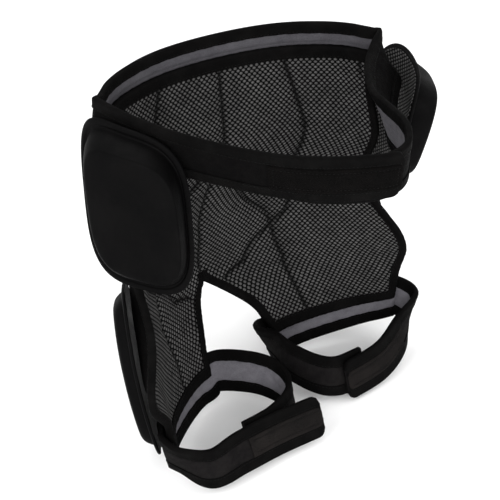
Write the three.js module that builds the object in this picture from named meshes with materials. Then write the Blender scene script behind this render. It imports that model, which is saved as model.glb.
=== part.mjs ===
// Padded protective shorts, hanging as if worn: a padded seat panel that is open at the front,
// a waist belt, two hip pads, two thigh pads and two leg straps.
// Millimetres. +Z is up, the wearer faces -Y and the wearer's left is +X.
// The origin is the middle of the waist opening, at the belt's mid height.

import * as THREE from "three";

// Driving dimensions
const GAP = 0.55; // clearance between neighbouring pieces
const BELT_WIDTH = 50;
const LEG_STRAP_WIDTH = 40;
const STRAP_THICK = 3;
const LINING_THICK = 0.8;
const TAPE_THICK = 1; // binding tape folded over every edge
const TAPE_REACH = 9; // how far the tape reaches in from a strap's edge
const TAPE_GAP = 0.9; // clearance under a strap's tape
const PANEL_TAPE_REACH = 9; // the same on the panel
const PANEL_TAPE_GAP = 1.45; // clearance under the panel's tape, where the foam bulges
const PANEL_EDGE_GAP = 1; // the same at the panel's edge
const TAB_THICK = 1.6; // grip patch sewn on a strap's free end
const BELT_TAB_LENGTH = 118;
const LEG_TAB_LENGTH = 88;
const PANEL_THICK = 4; // panel foam at its edges and seams
const OUTER_PUFF = 4; // extra foam between seams, on the outside
const INNER_PUFF = 1.5; // the same on the mesh side
const BELT_SEAM_OUT = 7; // panel's middle surface to the inside of the belt sewn round it
const LEG_SEAM_OUT = 8.7; // the same for a leg strap, which bends more
const PAST_EDGE = 1.05; // a sewn strap keeps straight this far across the panel
const HEM_LAP = 17; // how far the hem reaches down inside a leg strap
const UNDER_BELT = 0.8; // the panel's row under the belt's lower edge
const UNDER_LEG_STRAP = 7.45; // the panel's row under a leg strap's top edge
const PAD_SEGMENTS = 20;
const FREE_STEPS = 2; // stations between two table rows of a free strap

// How the garment hangs: it is twisted, hips to the wearer's right and legs to the left.
// Degrees about Z at each height.
const HANG = [
  { z: 30, turn: -11 },
  { z: -75, turn: -11 },
  { z: -170, turn: 9 },
  { z: -360, turn: 9 },
];

// The seat panel's middle surface, half of it, before the twist: a row per height, with four
// points in plan. inner is the centre line or the notch's edge and front is the free edge beside
// the thigh. lift is how much higher the front edge is than the inner one.
const PANEL = [
  { z: 0, inner: [0, 126], back: [62, 119.5], side: [113, 97.5], front: [140, 70], lift: 0, puff: 0 },
  { z: -30, inner: [0, 122], back: [64, 116], side: [113, 98], front: [140, 71], lift: 0, puff: 0 },
  { z: -75, inner: [0, 116], back: [68, 111], side: [117, 86], front: [141, 57], lift: 0, puff: 1 },
  { z: -125, inner: [0, 110], back: [70, 103], side: [121, 74], front: [142, 40], lift: 0, puff: 1 },
  { z: -175, inner: [0, 108], back: [72, 97], side: [134, 54], front: [163, 7], lift: 0, puff: 1 },
  { z: -230, inner: [0, 104], back: [70, 86], side: [134, 40], front: [184, -13], lift: 6, puff: 1 },
  { z: -240, inner: [12, 97], back: [73, 80], side: [134, 36], front: [183.5, -15], lift: 9, puff: 0.8 },
  { z: -263, inner: [36, 70], back: [79, 60], side: [133, 27], front: [171, -17], lift: 13, puff: 0.3 },
  { z: -296, inner: [50, 44], back: [86, 35], side: [132, 10], front: [162, -20], lift: 17, puff: 0 },
];
const PLAN = ["inner", "back", "side", "front"];
const NOTCH_ROW = 5; // the row whose inner point is the notch's top

// Grid lines of the panel: across from the centre to the front edge, with the foam's puff,
// and down in table rows.
const COLUMNS = [
  { across: 0, puff: 0 },
  { across: 0.11, puff: 0 },
  { across: 0.21, puff: 1 },
  { across: 0.31, puff: 0.6 },
  { across: 0.4, puff: 0 },
  { across: 0.49, puff: 0.6 },
  { across: 0.63, puff: 1 },
  { across: 0.77, puff: 0.8 },
  { across: 0.89, puff: 0 },
  { across: 1, puff: 0 },
];
const DOWN = [0, 0.45, 1, 1.5, 2, 2.5, 3, 3.5, 4, 4.7, 5, 5.4, 6, 7, 7.6, 8];

// The belt's free ends, a row per bend: lean is how far the top edge tips out per millimetre up.
const BELT_LEFT = [
  { x: -45, y: -73, z: -8, lean: 0.2 },
  { x: -26, y: -98, z: -7, lean: 0.15 },
  { x: 8, y: -125, z: -4, lean: 0.15 },
  { x: 34, y: -131, z: 1, lean: 0.1 },
  { x: 53, y: -117, z: 3, lean: 0 },
  { x: 65, y: -95, z: 2, lean: -0.05 },
  { x: 76, y: -64, z: 0, lean: -0.2 },
  { x: 93, y: -36, z: -1, lean: -0.55 },
  { x: 126, y: 0, z: -2, lean: -0.8 },
  { x: 149, y: 20, z: -1, lean: -0.45 },
];
const BELT_RIGHT = [
  { x: -122, y: 48, z: 0, lean: 0.05 },
  { x: -99, y: -6, z: 0, lean: 0.2 },
  { x: -66, y: -64, z: 0, lean: 0.2 },
  { x: -36, y: -105, z: 3, lean: 0.15 },
  { x: 3, y: -134, z: 5, lean: 0.15 },
  { x: 24, y: -142, z: 5, lean: 0.15 },
];

// The leg straps' free ends, inner thigh and front, a row per bend.
const RIGHT_LEG_INNER = [
  { x: -80, y: -56, z: -309, lean: -0.2 },
  { x: -45, y: -55, z: -308, lean: -0.2 },
  { x: -17, y: -46, z: -305, lean: -0.1 },
  { x: -7, y: -27, z: -302, lean: 0.1 },
  { x: -10, y: -5, z: -298, lean: 0.3 },
  { x: -22, y: 16, z: -297, lean: 0.45 },
  { x: -43, y: 39.5, z: -300, lean: 0.62 },
];
const RIGHT_LEG_FRONT = [
  { x: -160, y: -62, z: -287, lean: 0.3 },
  { x: -136, y: -73, z: -301, lean: -0.05 },
  { x: -97, y: -68, z: -302, lean: -0.25 },
  { x: -50, y: -66, z: -304, lean: -0.25 },
  { x: -1, y: -70, z: -304, lean: -0.2 },
];
const LEFT_LEG_INNER = [
  { x: 86, y: -35, z: -309, lean: -0.3 },
  { x: 52, y: -36, z: -305, lean: -0.3 },
  { x: 36, y: -21, z: -303, lean: -0.2 },
  { x: 25, y: 5, z: -298, lean: -0.1 },
  { x: 26, y: 31, z: -296, lean: 0.1 },
  { x: 28, y: 52.4, z: -300, lean: 0.52 },
];
const LEFT_LEG_FRONT = [
  { x: 172, y: -10.5, z: -287.5, lean: 0.32 },
  { x: 143, y: -29, z: -298, lean: -0.25 },
  { x: 104, y: -44, z: -305, lean: -0.3 },
  { x: 56, y: -48, z: -308, lean: -0.3 },
];

// Moulded pads. The hip pads stand on their own bent base outside the belt: facing is the way
// their outside looks, in degrees from +X, flare how far that tips up, and skew how far they
// shift to the front per millimetre down.
const HIP_PADS = [
  { side: "right", x: -144.5, y: 31, z: -56, facing: 202, flare: 13, skew: 0.24 },
  { side: "left", x: 162, y: 24.4, z: -66, facing: -21, flare: -10, skew: 0.3 },
];
const HIP_HALF_WIDTH = 60;
const HIP_HALF_HEIGHT = 75;
const HIP_TAPER = 0.08; // how much narrower than its middle the pad is at its lower end
const HIP_BEND = 160; // radius of the base round the hip
// The thigh pads lie along the panel's outside, at this place across it, from this height to a
// little below the hem, and their lower end lies over the leg strap.
const THIGH_ACROSS = 0.72;
const THIGH_TOP = -144;
const THIGH_FACING = -200; // the height whose facing the pad takes
const THIGH_TOP_OFF = 9; // base to the panel's middle surface at the pad's top
const THIGH_HEM_OFF = 18; // the same at the hem, over the strap
const THIGH_DROP = 16; // how far the pad reaches below the hem
const THIGH_HALF_WIDTH = 46;
const THIGH_HALF_HEIGHT = 84;
const THIGH_BEND = 320; // radius of the base round the thigh
const THIGH_BOW = 6; // how far the base's middle stands out from its ends
const PAD_SQUARENESS = 3.6; // exponent of the pads' rounded outline

// Pads in section, from the middle of the back face over the rim to the middle of the top.
const HIP_PROFILE = [
  { share: 0, rise: 0 },
  { share: 0.55, rise: 0 },
  { share: 0.94, rise: 0 },
  { share: 1, rise: 0 },
  { share: 1, rise: 3 },
  { share: 0.91, rise: 3.4 },
  { share: 0.89, rise: 2.2 },
  { share: 0.86, rise: 4 },
  { share: 0.82, rise: 18 },
  { share: 0.75, rise: 23 },
  { share: 0.4, rise: 25 },
  { share: 0, rise: 25.5 },
];
const THIGH_PROFILE = [
  { share: 0, rise: 0 },
  { share: 0.55, rise: 0 },
  { share: 1, rise: 0 },
  { share: 1, rise: 3 },
  { share: 0.9, rise: 3.4 },
  { share: 0.87, rise: 2.2 },
  { share: 0.84, rise: 3.6 },
  { share: 0.77, rise: 10 },
  { share: 0.66, rise: 12.8 },
  { share: 0.35, rise: 13.7 },
  { share: 0, rise: 14 },
];
const HIP_LINING_PROFILE = [
  { share: 0, rise: -GAP },
  { share: 0.55, rise: -GAP },
  { share: 0.94, rise: -GAP },
  { share: 0.94, rise: -GAP - LINING_THICK },
  { share: 0.55, rise: -GAP - LINING_THICK },
  { share: 0, rise: -GAP - LINING_THICK },
];

// Materials
const COLOURS = {
  neoprene: 0x1c1b1c,
  moulded: 0x222226,
  lining: 0x9a98a2,
  mesh: 0x4a4a4c,
  tape: 0x131313,
  grip: 0x25211f,
};
const ROUGHNESS = { neoprene: 0.85, moulded: 0.6, lining: 0.8, mesh: 0.9, tape: 0.8, grip: 0.9 };

const UP = new THREE.Vector3(0, 0, 1);
const group = new THREE.Group();

// Curves and frames

// A smooth curve through four numbers, from b at 0 to c at 1.
function blend(a, b, c, d, t) {
  const slopeB = (c - a) / 2;
  const slopeC = (d - b) / 2;
  const bend = 3 * (c - b) - 2 * slopeB - slopeC;
  const twist = 2 * (b - c) + slopeB + slopeC;
  return b + t * (slopeB + t * (bend + t * twist));
}

// One column of a table at a place between its rows, or one axis of a column of points.
function column(rows, name, place, axis) {
  const first = Math.min(Math.max(Math.floor(place), 0), rows.length - 2);
  const row = (step) => {
    const value = rows[Math.min(Math.max(first + step, 0), rows.length - 1)][name];
    return axis === undefined ? value : value[axis];
  };
  return blend(row(-1), row(0), row(1), row(2), place - first);
}

function turnAt(z) {
  const below = Math.max(HANG.findIndex((row) => row.z <= z), 1);
  const top = HANG[below - 1];
  const end = HANG[below];
  const share = THREE.MathUtils.smoothstep(z, end.z, top.z);
  return THREE.MathUtils.degToRad(end.turn + (top.turn - end.turn) * share);
}

// A point of the panel's middle surface. side is -1 for the wearer's right and 1 for the left.
function panelPoint(side, across, down) {
  const z = column(PANEL, "z", down) + column(PANEL, "lift", down) * across * across;
  const xs = PLAN.map((name) => column(PANEL, name, down, 0));
  const ys = PLAN.map((name) => column(PANEL, name, down, 1));
  if (down <= NOTCH_ROW) xs[0] = 0;
  xs.unshift(2 * xs[0] - xs[1]);
  ys.unshift(ys[1]);
  xs.push(2 * xs[4] - xs[3]);
  ys.push(2 * ys[4] - ys[3]);
  const first = Math.min(Math.max(Math.floor(across * 3), 0), 2);
  const t = across * 3 - first;
  const x = blend(...xs.slice(first, first + 4), t);
  const y = blend(...ys.slice(first, first + 4), t);
  return new THREE.Vector3(side * x, y, z).applyAxisAngle(UP, turnAt(z));
}

// The panel's point with its outward normal and the direction up the cloth.
function panelFrame(side, across, down) {
  const step = 0.004;
  const last = PANEL.length - 1;
  const a = panelPoint(side, across - step, down);
  const b = panelPoint(side, across + step, down);
  const c = panelPoint(side, across, Math.max(down - step, 0));
  const d = panelPoint(side, across, Math.min(down + step, last));
  const leftward = b.sub(a).multiplyScalar(side);
  const up = c.sub(d).normalize();
  const normal = up.clone().cross(leftward).normalize();
  return { point: panelPoint(side, across, down), normal, up };
}

// Solids

// A mesh from shared points and triangles, turned face out.
function solid(name, material, points, triangles) {
  let volume = 0;
  for (const [a, b, c] of triangles) {
    volume += points[a].dot(points[b].clone().cross(points[c])) / 6;
  }
  const faces = volume < 0 ? triangles.map(([a, b, c]) => [a, c, b]) : triangles;
  const geometry = new THREE.BufferGeometry().setFromPoints(points);
  geometry.setIndex(faces.flat());
  geometry.computeVertexNormals();
  const look = new THREE.MeshStandardMaterial({
    color: COLOURS[material],
    roughness: ROUGHNESS[material],
  });
  const mesh = new THREE.Mesh(geometry, look);
  mesh.name = name;
  group.add(mesh);
}

function quad(triangles, a, b, c, d) {
  triangles.push([a, b, c], [a, c, d]);
}

// A wall between two copies of one set of quads, closed round every free edge.
function wall(name, material, outer, inner, quads) {
  const points = [...outer, ...inner];
  const shift = outer.length;
  const triangles = [];
  const edges = new Set(quads.flatMap((q) => q.map((v, i) => v + ">" + q[(i + 1) % 4])));
  for (const q of quads) {
    const [a, b, c, d] = q;
    quad(triangles, a, b, c, d);
    quad(triangles, a + shift, d + shift, c + shift, b + shift);
    q.forEach((v, i) => {
      const next = q[(i + 1) % 4];
      if (!edges.has(next + ">" + v)) quad(triangles, v, v + shift, next + shift, next);
    });
  }
  const used = [...new Set(triangles.flat())];
  const place = new Map(used.map((v, i) => [v, i]));
  solid(
    name,
    material,
    used.map((v) => points[v]),
    triangles.map((t) => t.map((v) => place.get(v))),
  );
}

// A strip swept through sections of equal length. Each section runs along one face of the strip
// and back along the other, so an end closes with quads between the two. order tells which way
// a quad is split: from the lower number to the higher, so that neighbours split alike.
function sweep(name, material, sections, order, closed = false) {
  const size = sections[0].length;
  const triangles = [];
  const spans = closed ? sections.length : sections.length - 1;
  for (let i = 0; i < spans; i++) {
    const a = i * size;
    const b = ((i + 1) % sections.length) * size;
    for (let j = 0; j < size; j++) {
      const k = (j + 1) % size;
      if (order[k] >= order[j]) quad(triangles, a + j, a + k, b + k, b + j);
      else quad(triangles, a + k, b + k, b + j, a + j);
    }
  }
  if (!closed) {
    const end = (sections.length - 1) * size;
    for (let j = 0; j < size / 2 - 1; j++) {
      const k = size - 1 - j;
      quad(triangles, k, k - 1, j + 1, j);
      quad(triangles, end + j, end + j + 1, end + k - 1, end + k);
    }
  }
  solid(name, material, sections.flat(), triangles);
}

// A closed cushion of rings over a base: base(w, h) gives a point and a normal.
function cushion(name, material, base, halfWidth, halfHeight, profile) {
  const points = [];
  const triangles = [];
  const power = 2 / PAD_SQUARENESS;
  const rounded = (v) => Math.sign(v) * Math.abs(v) ** power;
  for (const { share, rise } of profile) {
    const count = share === 0 ? 1 : PAD_SEGMENTS;
    for (let i = 0; i < count; i++) {
      const angle = ((i + 0.5) / PAD_SEGMENTS) * 2 * Math.PI;
      const width = share * halfWidth * rounded(Math.cos(angle));
      const height = share * halfHeight * rounded(Math.sin(angle));
      const { point, normal } = base(share === 0 ? 0 : width, share === 0 ? 0 : height);
      points.push(point.clone().addScaledVector(normal, rise));
    }
  }
  const ring = (row, i) => 1 + (row - 1) * PAD_SEGMENTS + (i % PAD_SEGMENTS);
  const lastRing = profile.length - 2;
  for (let i = 0; i < PAD_SEGMENTS; i++) {
    triangles.push([0, ring(1, i + 1), ring(1, i)]);
    triangles.push([points.length - 1, ring(lastRing, i), ring(lastRing, i + 1)]);
    for (let row = 1; row < lastRing; row++) {
      quad(triangles, ring(row, i), ring(row, i + 1), ring(row + 1, i + 1), ring(row + 1, i));
    }
  }
  solid(name, material, points, triangles);
}

// Seat panel, mesh lining and binding

// How far the foam is puffed up, from 0 at a seam or edge to 1.
function puffAt(across, down) {
  const next = Math.max(COLUMNS.findIndex((row) => row.across >= across), 1);
  const low = COLUMNS[next - 1];
  const high = COLUMNS[next];
  const share = (across - low.across) / (high.across - low.across);
  const puff = low.puff + (high.puff - low.puff) * share;
  return puff * Math.max(column(PANEL, "puff", down), 0);
}

const outside = (puff) => PANEL_THICK / 2 + OUTER_PUFF * puff;
const inside = (puff) => -PANEL_THICK / 2 - INNER_PUFF * puff;

function panelGrid() {
  const frames = [];
  const puffs = [];
  const numbers = new Map();
  const number = (side, r, c) => {
    const shared = c === 0 && DOWN[r] <= NOTCH_ROW;
    const key = [shared ? 1 : side, r, c].join();
    if (!numbers.has(key)) {
      numbers.set(key, frames.length);
      frames.push(panelFrame(shared ? 1 : side, COLUMNS[c].across, DOWN[r]));
      puffs.push(puffAt(COLUMNS[c].across, DOWN[r]));
    }
    return numbers.get(key);
  };
  const cells = [];
  for (const side of [1, -1]) {
    for (let r = 0; r < DOWN.length - 1; r++) {
      for (let c = 0; c < COLUMNS.length - 1; c++) {
        const near = side > 0 ? c : c + 1;
        const far = side > 0 ? c + 1 : c;
        const corners = [
          number(side, r, near),
          number(side, r, far),
          number(side, r + 1, far),
          number(side, r + 1, near),
        ];
        const upright = c === 0 || c === COLUMNS.length - 2;
        if (upright) corners.push(corners.shift()); // split as the tape over that edge is
        cells.push({ r, c, corners });
      }
    }
  }
  const face = (offset) =>
    frames.map(({ point, normal }, i) => point.clone().addScaledVector(normal, offset(puffs[i])));
  return { cells, face };
}

function seatPanel() {
  const { cells, face } = panelGrid();
  const every = cells.map((cell) => cell.corners);
  wall("back_panel", "neoprene", face(outside), face(inside), every);
  const notchLine = DOWN.indexOf(NOTCH_ROW);
  const lined = cells.filter(({ r, c }) => {
    const inRows = r > 0 && r < DOWN.length - 2;
    const inColumns = c < COLUMNS.length - 2 && (c > 0 || r < notchLine - 1);
    return inRows && inColumns;
  });
  const far = (puff) => inside(puff) - GAP - LINING_THICK;
  const near = (puff) => inside(puff) - GAP;
  wall(
    "mesh_lining",
    "mesh",
    face(near),
    face(far),
    lined.map((cell) => cell.corners),
  );
}

// The panel's edge in order, counter-clockwise as seen from outside: each place on it with the
// grid's nearest place further in.
function panelEdge() {
  const last = PANEL.length - 1;
  const acrosses = COLUMNS.map((row) => row.across);
  const inward = [...acrosses].reverse();
  const notch = DOWN.filter((down) => down > NOTCH_ROW && down < last);
  const between = DOWN.slice(1, -1);
  const top = DOWN[1];
  const bottom = DOWN.at(-2);
  const front = acrosses.at(-2);
  const centre = acrosses[1];
  const edge = [];
  const add = (side, across, down, inAcross, inDown) =>
    edge.push({ at: [side, across, down], further: [side, inAcross, inDown] });
  const addTop = (side, across) => add(side, across, 0, Math.min(across, front), top);
  const addFront = (side, down) => add(side, 1, down, front, Math.min(Math.max(down, top), bottom));
  const addNotch = (side, down) => {
    const inDown = down === notch[0] ? NOTCH_ROW : Math.min(down, bottom);
    add(side, 0, down, centre, inDown);
  };
  const addHem = (side, across) =>
    add(side, across, last, Math.min(Math.max(across, centre), front), bottom);
  inward.forEach((across) => addTop(-1, across));
  acrosses.slice(1).forEach((across) => addTop(1, across));
  between.forEach((down) => addFront(1, down));
  inward.forEach((across) => addHem(1, across));
  [...notch].reverse().forEach((down) => addNotch(1, down));
  add(1, 0, NOTCH_ROW, 0, DOWN[DOWN.indexOf(NOTCH_ROW) - 1]);
  notch.forEach((down) => addNotch(-1, down));
  acrosses.forEach((across) => addHem(-1, across));
  [...between].reverse().forEach((down) => addFront(-1, down));
  return edge;
}

// Tape folded over an edge, in section: [in from the edge, face (1 out, -1 in), off that face].
function foldedTape(reach, gap, edgeGap) {
  const far = gap + TAPE_THICK;
  const past = edgeGap + TAPE_THICK;
  return [
    [reach, 1, far],
    [-past, 1, far],
    [-past, -1, far],
    [reach, -1, far],
    [reach, -1, gap],
    [-edgeGap, -1, gap],
    [-edgeGap, 1, gap],
    [reach, 1, gap],
  ];
}

function panelBinding() {
  const tape = foldedTape(PANEL_TAPE_REACH, PANEL_TAPE_GAP, PANEL_EDGE_GAP);
  const sections = panelEdge().map(({ at, further }) => {
    const here = panelFrame(...at);
    const there = panelFrame(...further);
    const span = there.point.clone().sub(here.point);
    const corner = at[1] !== further[1] && at[2] !== further[2] && further[2] !== NOTCH_ROW;
    const share = (corner ? Math.SQRT2 : 1) / span.length();
    const deeper = puffAt(further[1], further[2]);
    return tape.map(([inward, face, off]) => {
      const part = inward * share;
      const puff = deeper * Math.max(part, 0);
      const depth = face > 0 ? outside(puff) + off : inside(puff) - off;
      const normal = here.normal.clone().lerp(there.normal, Math.max(part, 0));
      return here.point.clone().addScaledVector(span, part).addScaledVector(normal, depth);
    });
  });
  const order = tape.map(([inward]) => inward);
  sweep("panel_binding", "tape", sections, order, true);
}

// Straps

// Rows of a strap where it is sewn round the panel's top or bottom edge: edge and far are the
// panel's rows at that edge and under the strap's other edge, and rise is from edge to mid strap.
function seamRows(places, edge, far, seamOut, rise) {
  return places.map(([side, across]) => {
    const [from, to] = [edge, far].map((down) => {
      const { point, normal } = panelFrame(side, across, down);
      return { point: point.addScaledVector(normal, seamOut), normal };
    });
    const up = from.point.clone().sub(to.point).normalize();
    if (up.z < 0) up.negate();
    const { x, y, z } = from.point.clone().addScaledVector(up, rise);
    const flat = new THREE.Vector3(from.normal.x, from.normal.y, 0).normalize();
    return { x, y, z, lean: up.dot(flat) / up.z, sewn: true };
  });
}

// Stations along a strap that runs counter-clockwise from above: a point of its inside face with
// the directions up its width and out of its face.
function stations(rows) {
  const places = [];
  for (let i = 0; i < rows.length - 1; i++) {
    const steps = rows[i].sewn && rows[i + 1].sewn ? 1 : FREE_STEPS;
    for (let j = 0; j < steps; j++) places.push(i + j / steps);
  }
  places.push(rows.length - 1);
  const pointAt = (place) =>
    new THREE.Vector3(...["x", "y", "z"].map((name) => column(rows, name, place)));
  return places.map((place) => {
    const before = pointAt(Math.max(place - 0.02, 0));
    const after = pointAt(Math.min(place + 0.02, rows.length - 1));
    const along = after.sub(before).normalize();
    const level = along.clone().cross(UP).normalize();
    const up = UP.clone().addScaledVector(level, column(rows, "lean", place)).normalize();
    return { point: pointAt(place), up, out: along.clone().cross(up).normalize() };
  });
}

// A strap's section, given as [up its width, out of its face], at every station.
function strapSections(run, section) {
  return run.map(({ point, up, out }) =>
    section.map(([rise, depth]) =>
      point.clone().addScaledVector(up, rise).addScaledVector(out, depth),
    ),
  );
}

// A plate in section, with a point at each of the given places up its width.
function plate(places, near, far) {
  const back = [...places].reverse();
  return [...places.map((rise) => [rise, near]), ...back.map((rise) => [rise, far])];
}

function strapPiece(name, material, run, section) {
  const order = section.map(([rise]) => rise);
  sweep(name, material, strapSections(run, section), order);
}

function strap(names, rows, width) {
  const run = stations(rows);
  const half = width / 2 - TAPE_THICK - TAPE_GAP;
  const lined = half - TAPE_REACH - GAP;
  const depth = (face, off) => (face > 0 ? STRAP_THICK + off : -off);
  const tape = foldedTape(TAPE_REACH, TAPE_GAP, TAPE_GAP);
  const top = tape.map(([inward, face, off]) => [half - inward, depth(face, off)]);
  const bottom = tape.map(([inward, face, off]) => [inward - half, depth(face, off)]);
  const face = [-lined, lined];
  strapPiece(names.body, "neoprene", run, plate([-half, ...face, half], 0, STRAP_THICK));
  strapPiece(names.lining, "lining", run, plate(face, -GAP - LINING_THICK, -GAP));
  strapPiece(names.top, "tape", run, top);
  strapPiece(names.bottom, "tape", run, bottom);
  return { run, face };
}

// A grip patch over the last stretch of a strap's outside, measured back from its end.
function tab(name, { run, face }, length, atStart) {
  const order = atStart ? run : [...run].reverse();
  const patch = [order[0]];
  let covered = 0;
  for (let i = 1; i < order.length && covered < length; i++) {
    covered += order[i].point.distanceTo(order[i - 1].point);
    patch.push(order[i]);
  }
  const near = STRAP_THICK + GAP;
  if (!atStart) patch.reverse();
  strapPiece(name, "grip", patch, plate(face, near, near + TAB_THICK));
}

function belt() {
  const acrosses = [...COLUMNS.map((row) => row.across), PAST_EDGE];
  const places = [
    ...[...acrosses].reverse().map((across) => [1, across]),
    ...acrosses.slice(1).map((across) => [-1, across]),
  ];
  const seam = seamRows(places, 0, UNDER_BELT, BELT_SEAM_OUT, 0);
  const rows = [...BELT_LEFT, ...seam, ...BELT_RIGHT];
  const names = {
    body: "waist_belt",
    lining: "belt_lining",
    top: "belt_binding_top",
    bottom: "belt_binding_bottom",
  };
  tab("belt_tab", strap(names, rows, BELT_WIDTH), BELT_TAB_LENGTH, false);
}

function legStrap(label, side, innerRows, frontRows) {
  const last = PANEL.length - 1;
  const acrosses = [...COLUMNS.map((row) => row.across), PAST_EDGE];
  const places = acrosses.map((across) => [side, across]);
  const rise = HEM_LAP - LEG_STRAP_WIDTH / 2;
  const seam = seamRows(places, last, UNDER_LEG_STRAP, LEG_SEAM_OUT, rise);
  const rows = [...innerRows, ...seam, ...frontRows];
  const names = {
    body: "leg_strap_" + label,
    lining: "leg_lining_" + label,
    top: "leg_binding_top_" + label,
    bottom: "leg_binding_bottom_" + label,
  };
  const counterClockwise = side < 0 ? rows : rows.reverse();
  tab("leg_tab_" + label, strap(names, counterClockwise, LEG_STRAP_WIDTH), LEG_TAB_LENGTH, side > 0);
}

// Pads

// The base of a pad: a sheet bent round an upright axis and bowed along its height.
function bentBase({ centre, out, up, bend, halfHeight, bow = 0, taper = 0, skew = 0 }) {
  const along = up.clone().cross(out);
  return (width, height) => {
    const share = height / halfHeight;
    const turn = (width * (1 + taper * share) - skew * height) / bend;
    const normal = out.clone().multiplyScalar(Math.cos(turn)).addScaledVector(along, Math.sin(turn));
    const point = centre.clone().addScaledVector(out, bow * (1 - share * share) - bend);
    point.addScaledVector(normal, bend).addScaledVector(up, height);
    normal.addScaledVector(up, (2 * bow * share) / halfHeight).normalize();
    return { point, normal };
  };
}

function hipPad({ side, x, y, z, facing, flare, skew }) {
  const heading = THREE.MathUtils.degToRad(facing);
  const tip = THREE.MathUtils.degToRad(flare);
  const level = new THREE.Vector3(Math.cos(heading), Math.sin(heading), 0);
  const out = level.clone().multiplyScalar(Math.cos(tip)).addScaledVector(UP, Math.sin(tip));
  const base = bentBase({
    centre: new THREE.Vector3(x, y, z),
    out,
    up: out.clone().cross(UP.clone().cross(level)),
    bend: HIP_BEND,
    halfHeight: HIP_HALF_HEIGHT,
    taper: HIP_TAPER,
    skew,
  });
  cushion("hip_pad_" + side, "moulded", base, HIP_HALF_WIDTH, HIP_HALF_HEIGHT, HIP_PROFILE);
  cushion("hip_lining_" + side, "mesh", base, HIP_HALF_WIDTH, HIP_HALF_HEIGHT, HIP_LINING_PROFILE);
}

// The panel's row at a height, found by halving.
function downAt(z) {
  let low = 0;
  let high = PANEL.length - 1;
  for (let i = 0; i < 40; i++) {
    const middle = (low + high) / 2;
    if (column(PANEL, "z", middle) > z) low = middle;
    else high = middle;
  }
  return low;
}

function thighPad(label, side) {
  const hem = PANEL.length - 1;
  const [top, bottom] = [
    [downAt(THIGH_TOP), THIGH_TOP_OFF],
    [hem, THIGH_HEM_OFF],
  ].map(([down, off]) => {
    const { point, normal } = panelFrame(side, THIGH_ACROSS, down);
    return point.addScaledVector(normal, off);
  });
  const up = top.clone().sub(bottom).normalize();
  const out = panelFrame(side, THIGH_ACROSS, downAt(THIGH_FACING)).normal;
  out.addScaledVector(up, -out.dot(up)).normalize();
  const base = bentBase({
    centre: bottom.addScaledVector(up, THIGH_HALF_HEIGHT - THIGH_DROP),
    out,
    up,
    bend: THIGH_BEND,
    halfHeight: THIGH_HALF_HEIGHT,
    bow: THIGH_BOW,
  });
  cushion("thigh_pad_" + label, "moulded", base, THIGH_HALF_WIDTH, THIGH_HALF_HEIGHT, THIGH_PROFILE);
}

seatPanel();
panelBinding();
belt();
legStrap("right", -1, RIGHT_LEG_INNER, RIGHT_LEG_FRONT);
legStrap("left", 1, LEFT_LEG_INNER, LEFT_LEG_FRONT);
HIP_PADS.forEach(hipPad);
thighPad("right", -1);
thighPad("left", 1);

export default group;
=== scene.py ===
import math

import bmesh
import bpy
import numpy as np
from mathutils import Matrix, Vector, kdtree


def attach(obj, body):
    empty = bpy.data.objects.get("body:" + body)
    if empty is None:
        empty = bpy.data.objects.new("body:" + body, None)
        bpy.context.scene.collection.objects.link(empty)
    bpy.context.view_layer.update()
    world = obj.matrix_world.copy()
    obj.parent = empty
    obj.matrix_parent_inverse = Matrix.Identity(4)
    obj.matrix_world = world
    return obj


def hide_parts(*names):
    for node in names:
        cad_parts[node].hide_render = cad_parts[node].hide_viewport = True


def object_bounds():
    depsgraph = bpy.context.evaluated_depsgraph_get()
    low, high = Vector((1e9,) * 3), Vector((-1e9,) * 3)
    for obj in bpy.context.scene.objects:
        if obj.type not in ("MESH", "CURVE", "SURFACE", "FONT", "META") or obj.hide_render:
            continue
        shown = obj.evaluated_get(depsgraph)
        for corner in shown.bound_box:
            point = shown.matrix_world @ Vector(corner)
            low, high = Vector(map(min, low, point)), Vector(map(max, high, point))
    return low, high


# Padded protective shorts, dressed: a quilted seat panel, belt, leg straps and moulded pads.
# Tables and shapes are in millimetres and meshes in metres, in the part's own frame: +Z is up,
# the wearer faces -Y, the wearer's left is +X and the origin is the middle of the waist.

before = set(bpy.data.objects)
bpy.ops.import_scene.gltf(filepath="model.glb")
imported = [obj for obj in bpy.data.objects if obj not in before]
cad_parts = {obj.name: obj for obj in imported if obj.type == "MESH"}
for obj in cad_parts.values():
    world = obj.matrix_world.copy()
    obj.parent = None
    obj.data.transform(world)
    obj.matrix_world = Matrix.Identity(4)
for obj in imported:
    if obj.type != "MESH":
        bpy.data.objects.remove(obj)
cad_box = [list(corner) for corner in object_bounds()]


def table(names, *rows):
    """A table with named columns."""
    return {name: np.array([row[i] for row in rows], float) for i, name in enumerate(names.split())}


def join(*tables):
    """One table from the rows of several."""
    return {name: np.concatenate([rows[name] for rows in tables]) for name in tables[0]}


# Driving dimensions
MM = 0.001
BELT_WIDTH = 50
LEG_STRAP_WIDTH = 43
STRAP_EDGE = 1.9  # how far a strap's foam ends from the strap's edge
STRAP_THICK = 3
STRAP_CROWN = 0.9  # how far a strap's foam swells between its bindings
CROWN_TUCK = 2  # how far that swelling runs under the bindings
STRAP_CORNER = 8  # radius of the corners on a strap's free end
STRAP_COLUMNS = 21
STATION = 2.5  # spacing of the sections along a strap
LINING_THICK = 0.8
LINING_SHORT = 7  # how far a strap's lining ends from the free end
LINING_TUCK = 3  # how far it reaches under the bindings
LINING_SWELL = 0.8
LINING_OFF = 0.1
LINING_BACK = 0.05  # depth of its hidden side
LINING_LEAST = 0.45  # least depth of its seen side
LINING_COLUMNS = 29
CREASE_MOST = 0.9  # depth at which a crease stops
CREASE_SPREAD = 14  # how far a crease runs up and down a lining
BELT_FOLD = 4  # height of the crease along the belt's lining, above its middle
LINING_FOLD = 0.8  # depth of that crease
LINING_FOLD_WIDTH = 1.3
TAPE_THICK = 1
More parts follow.
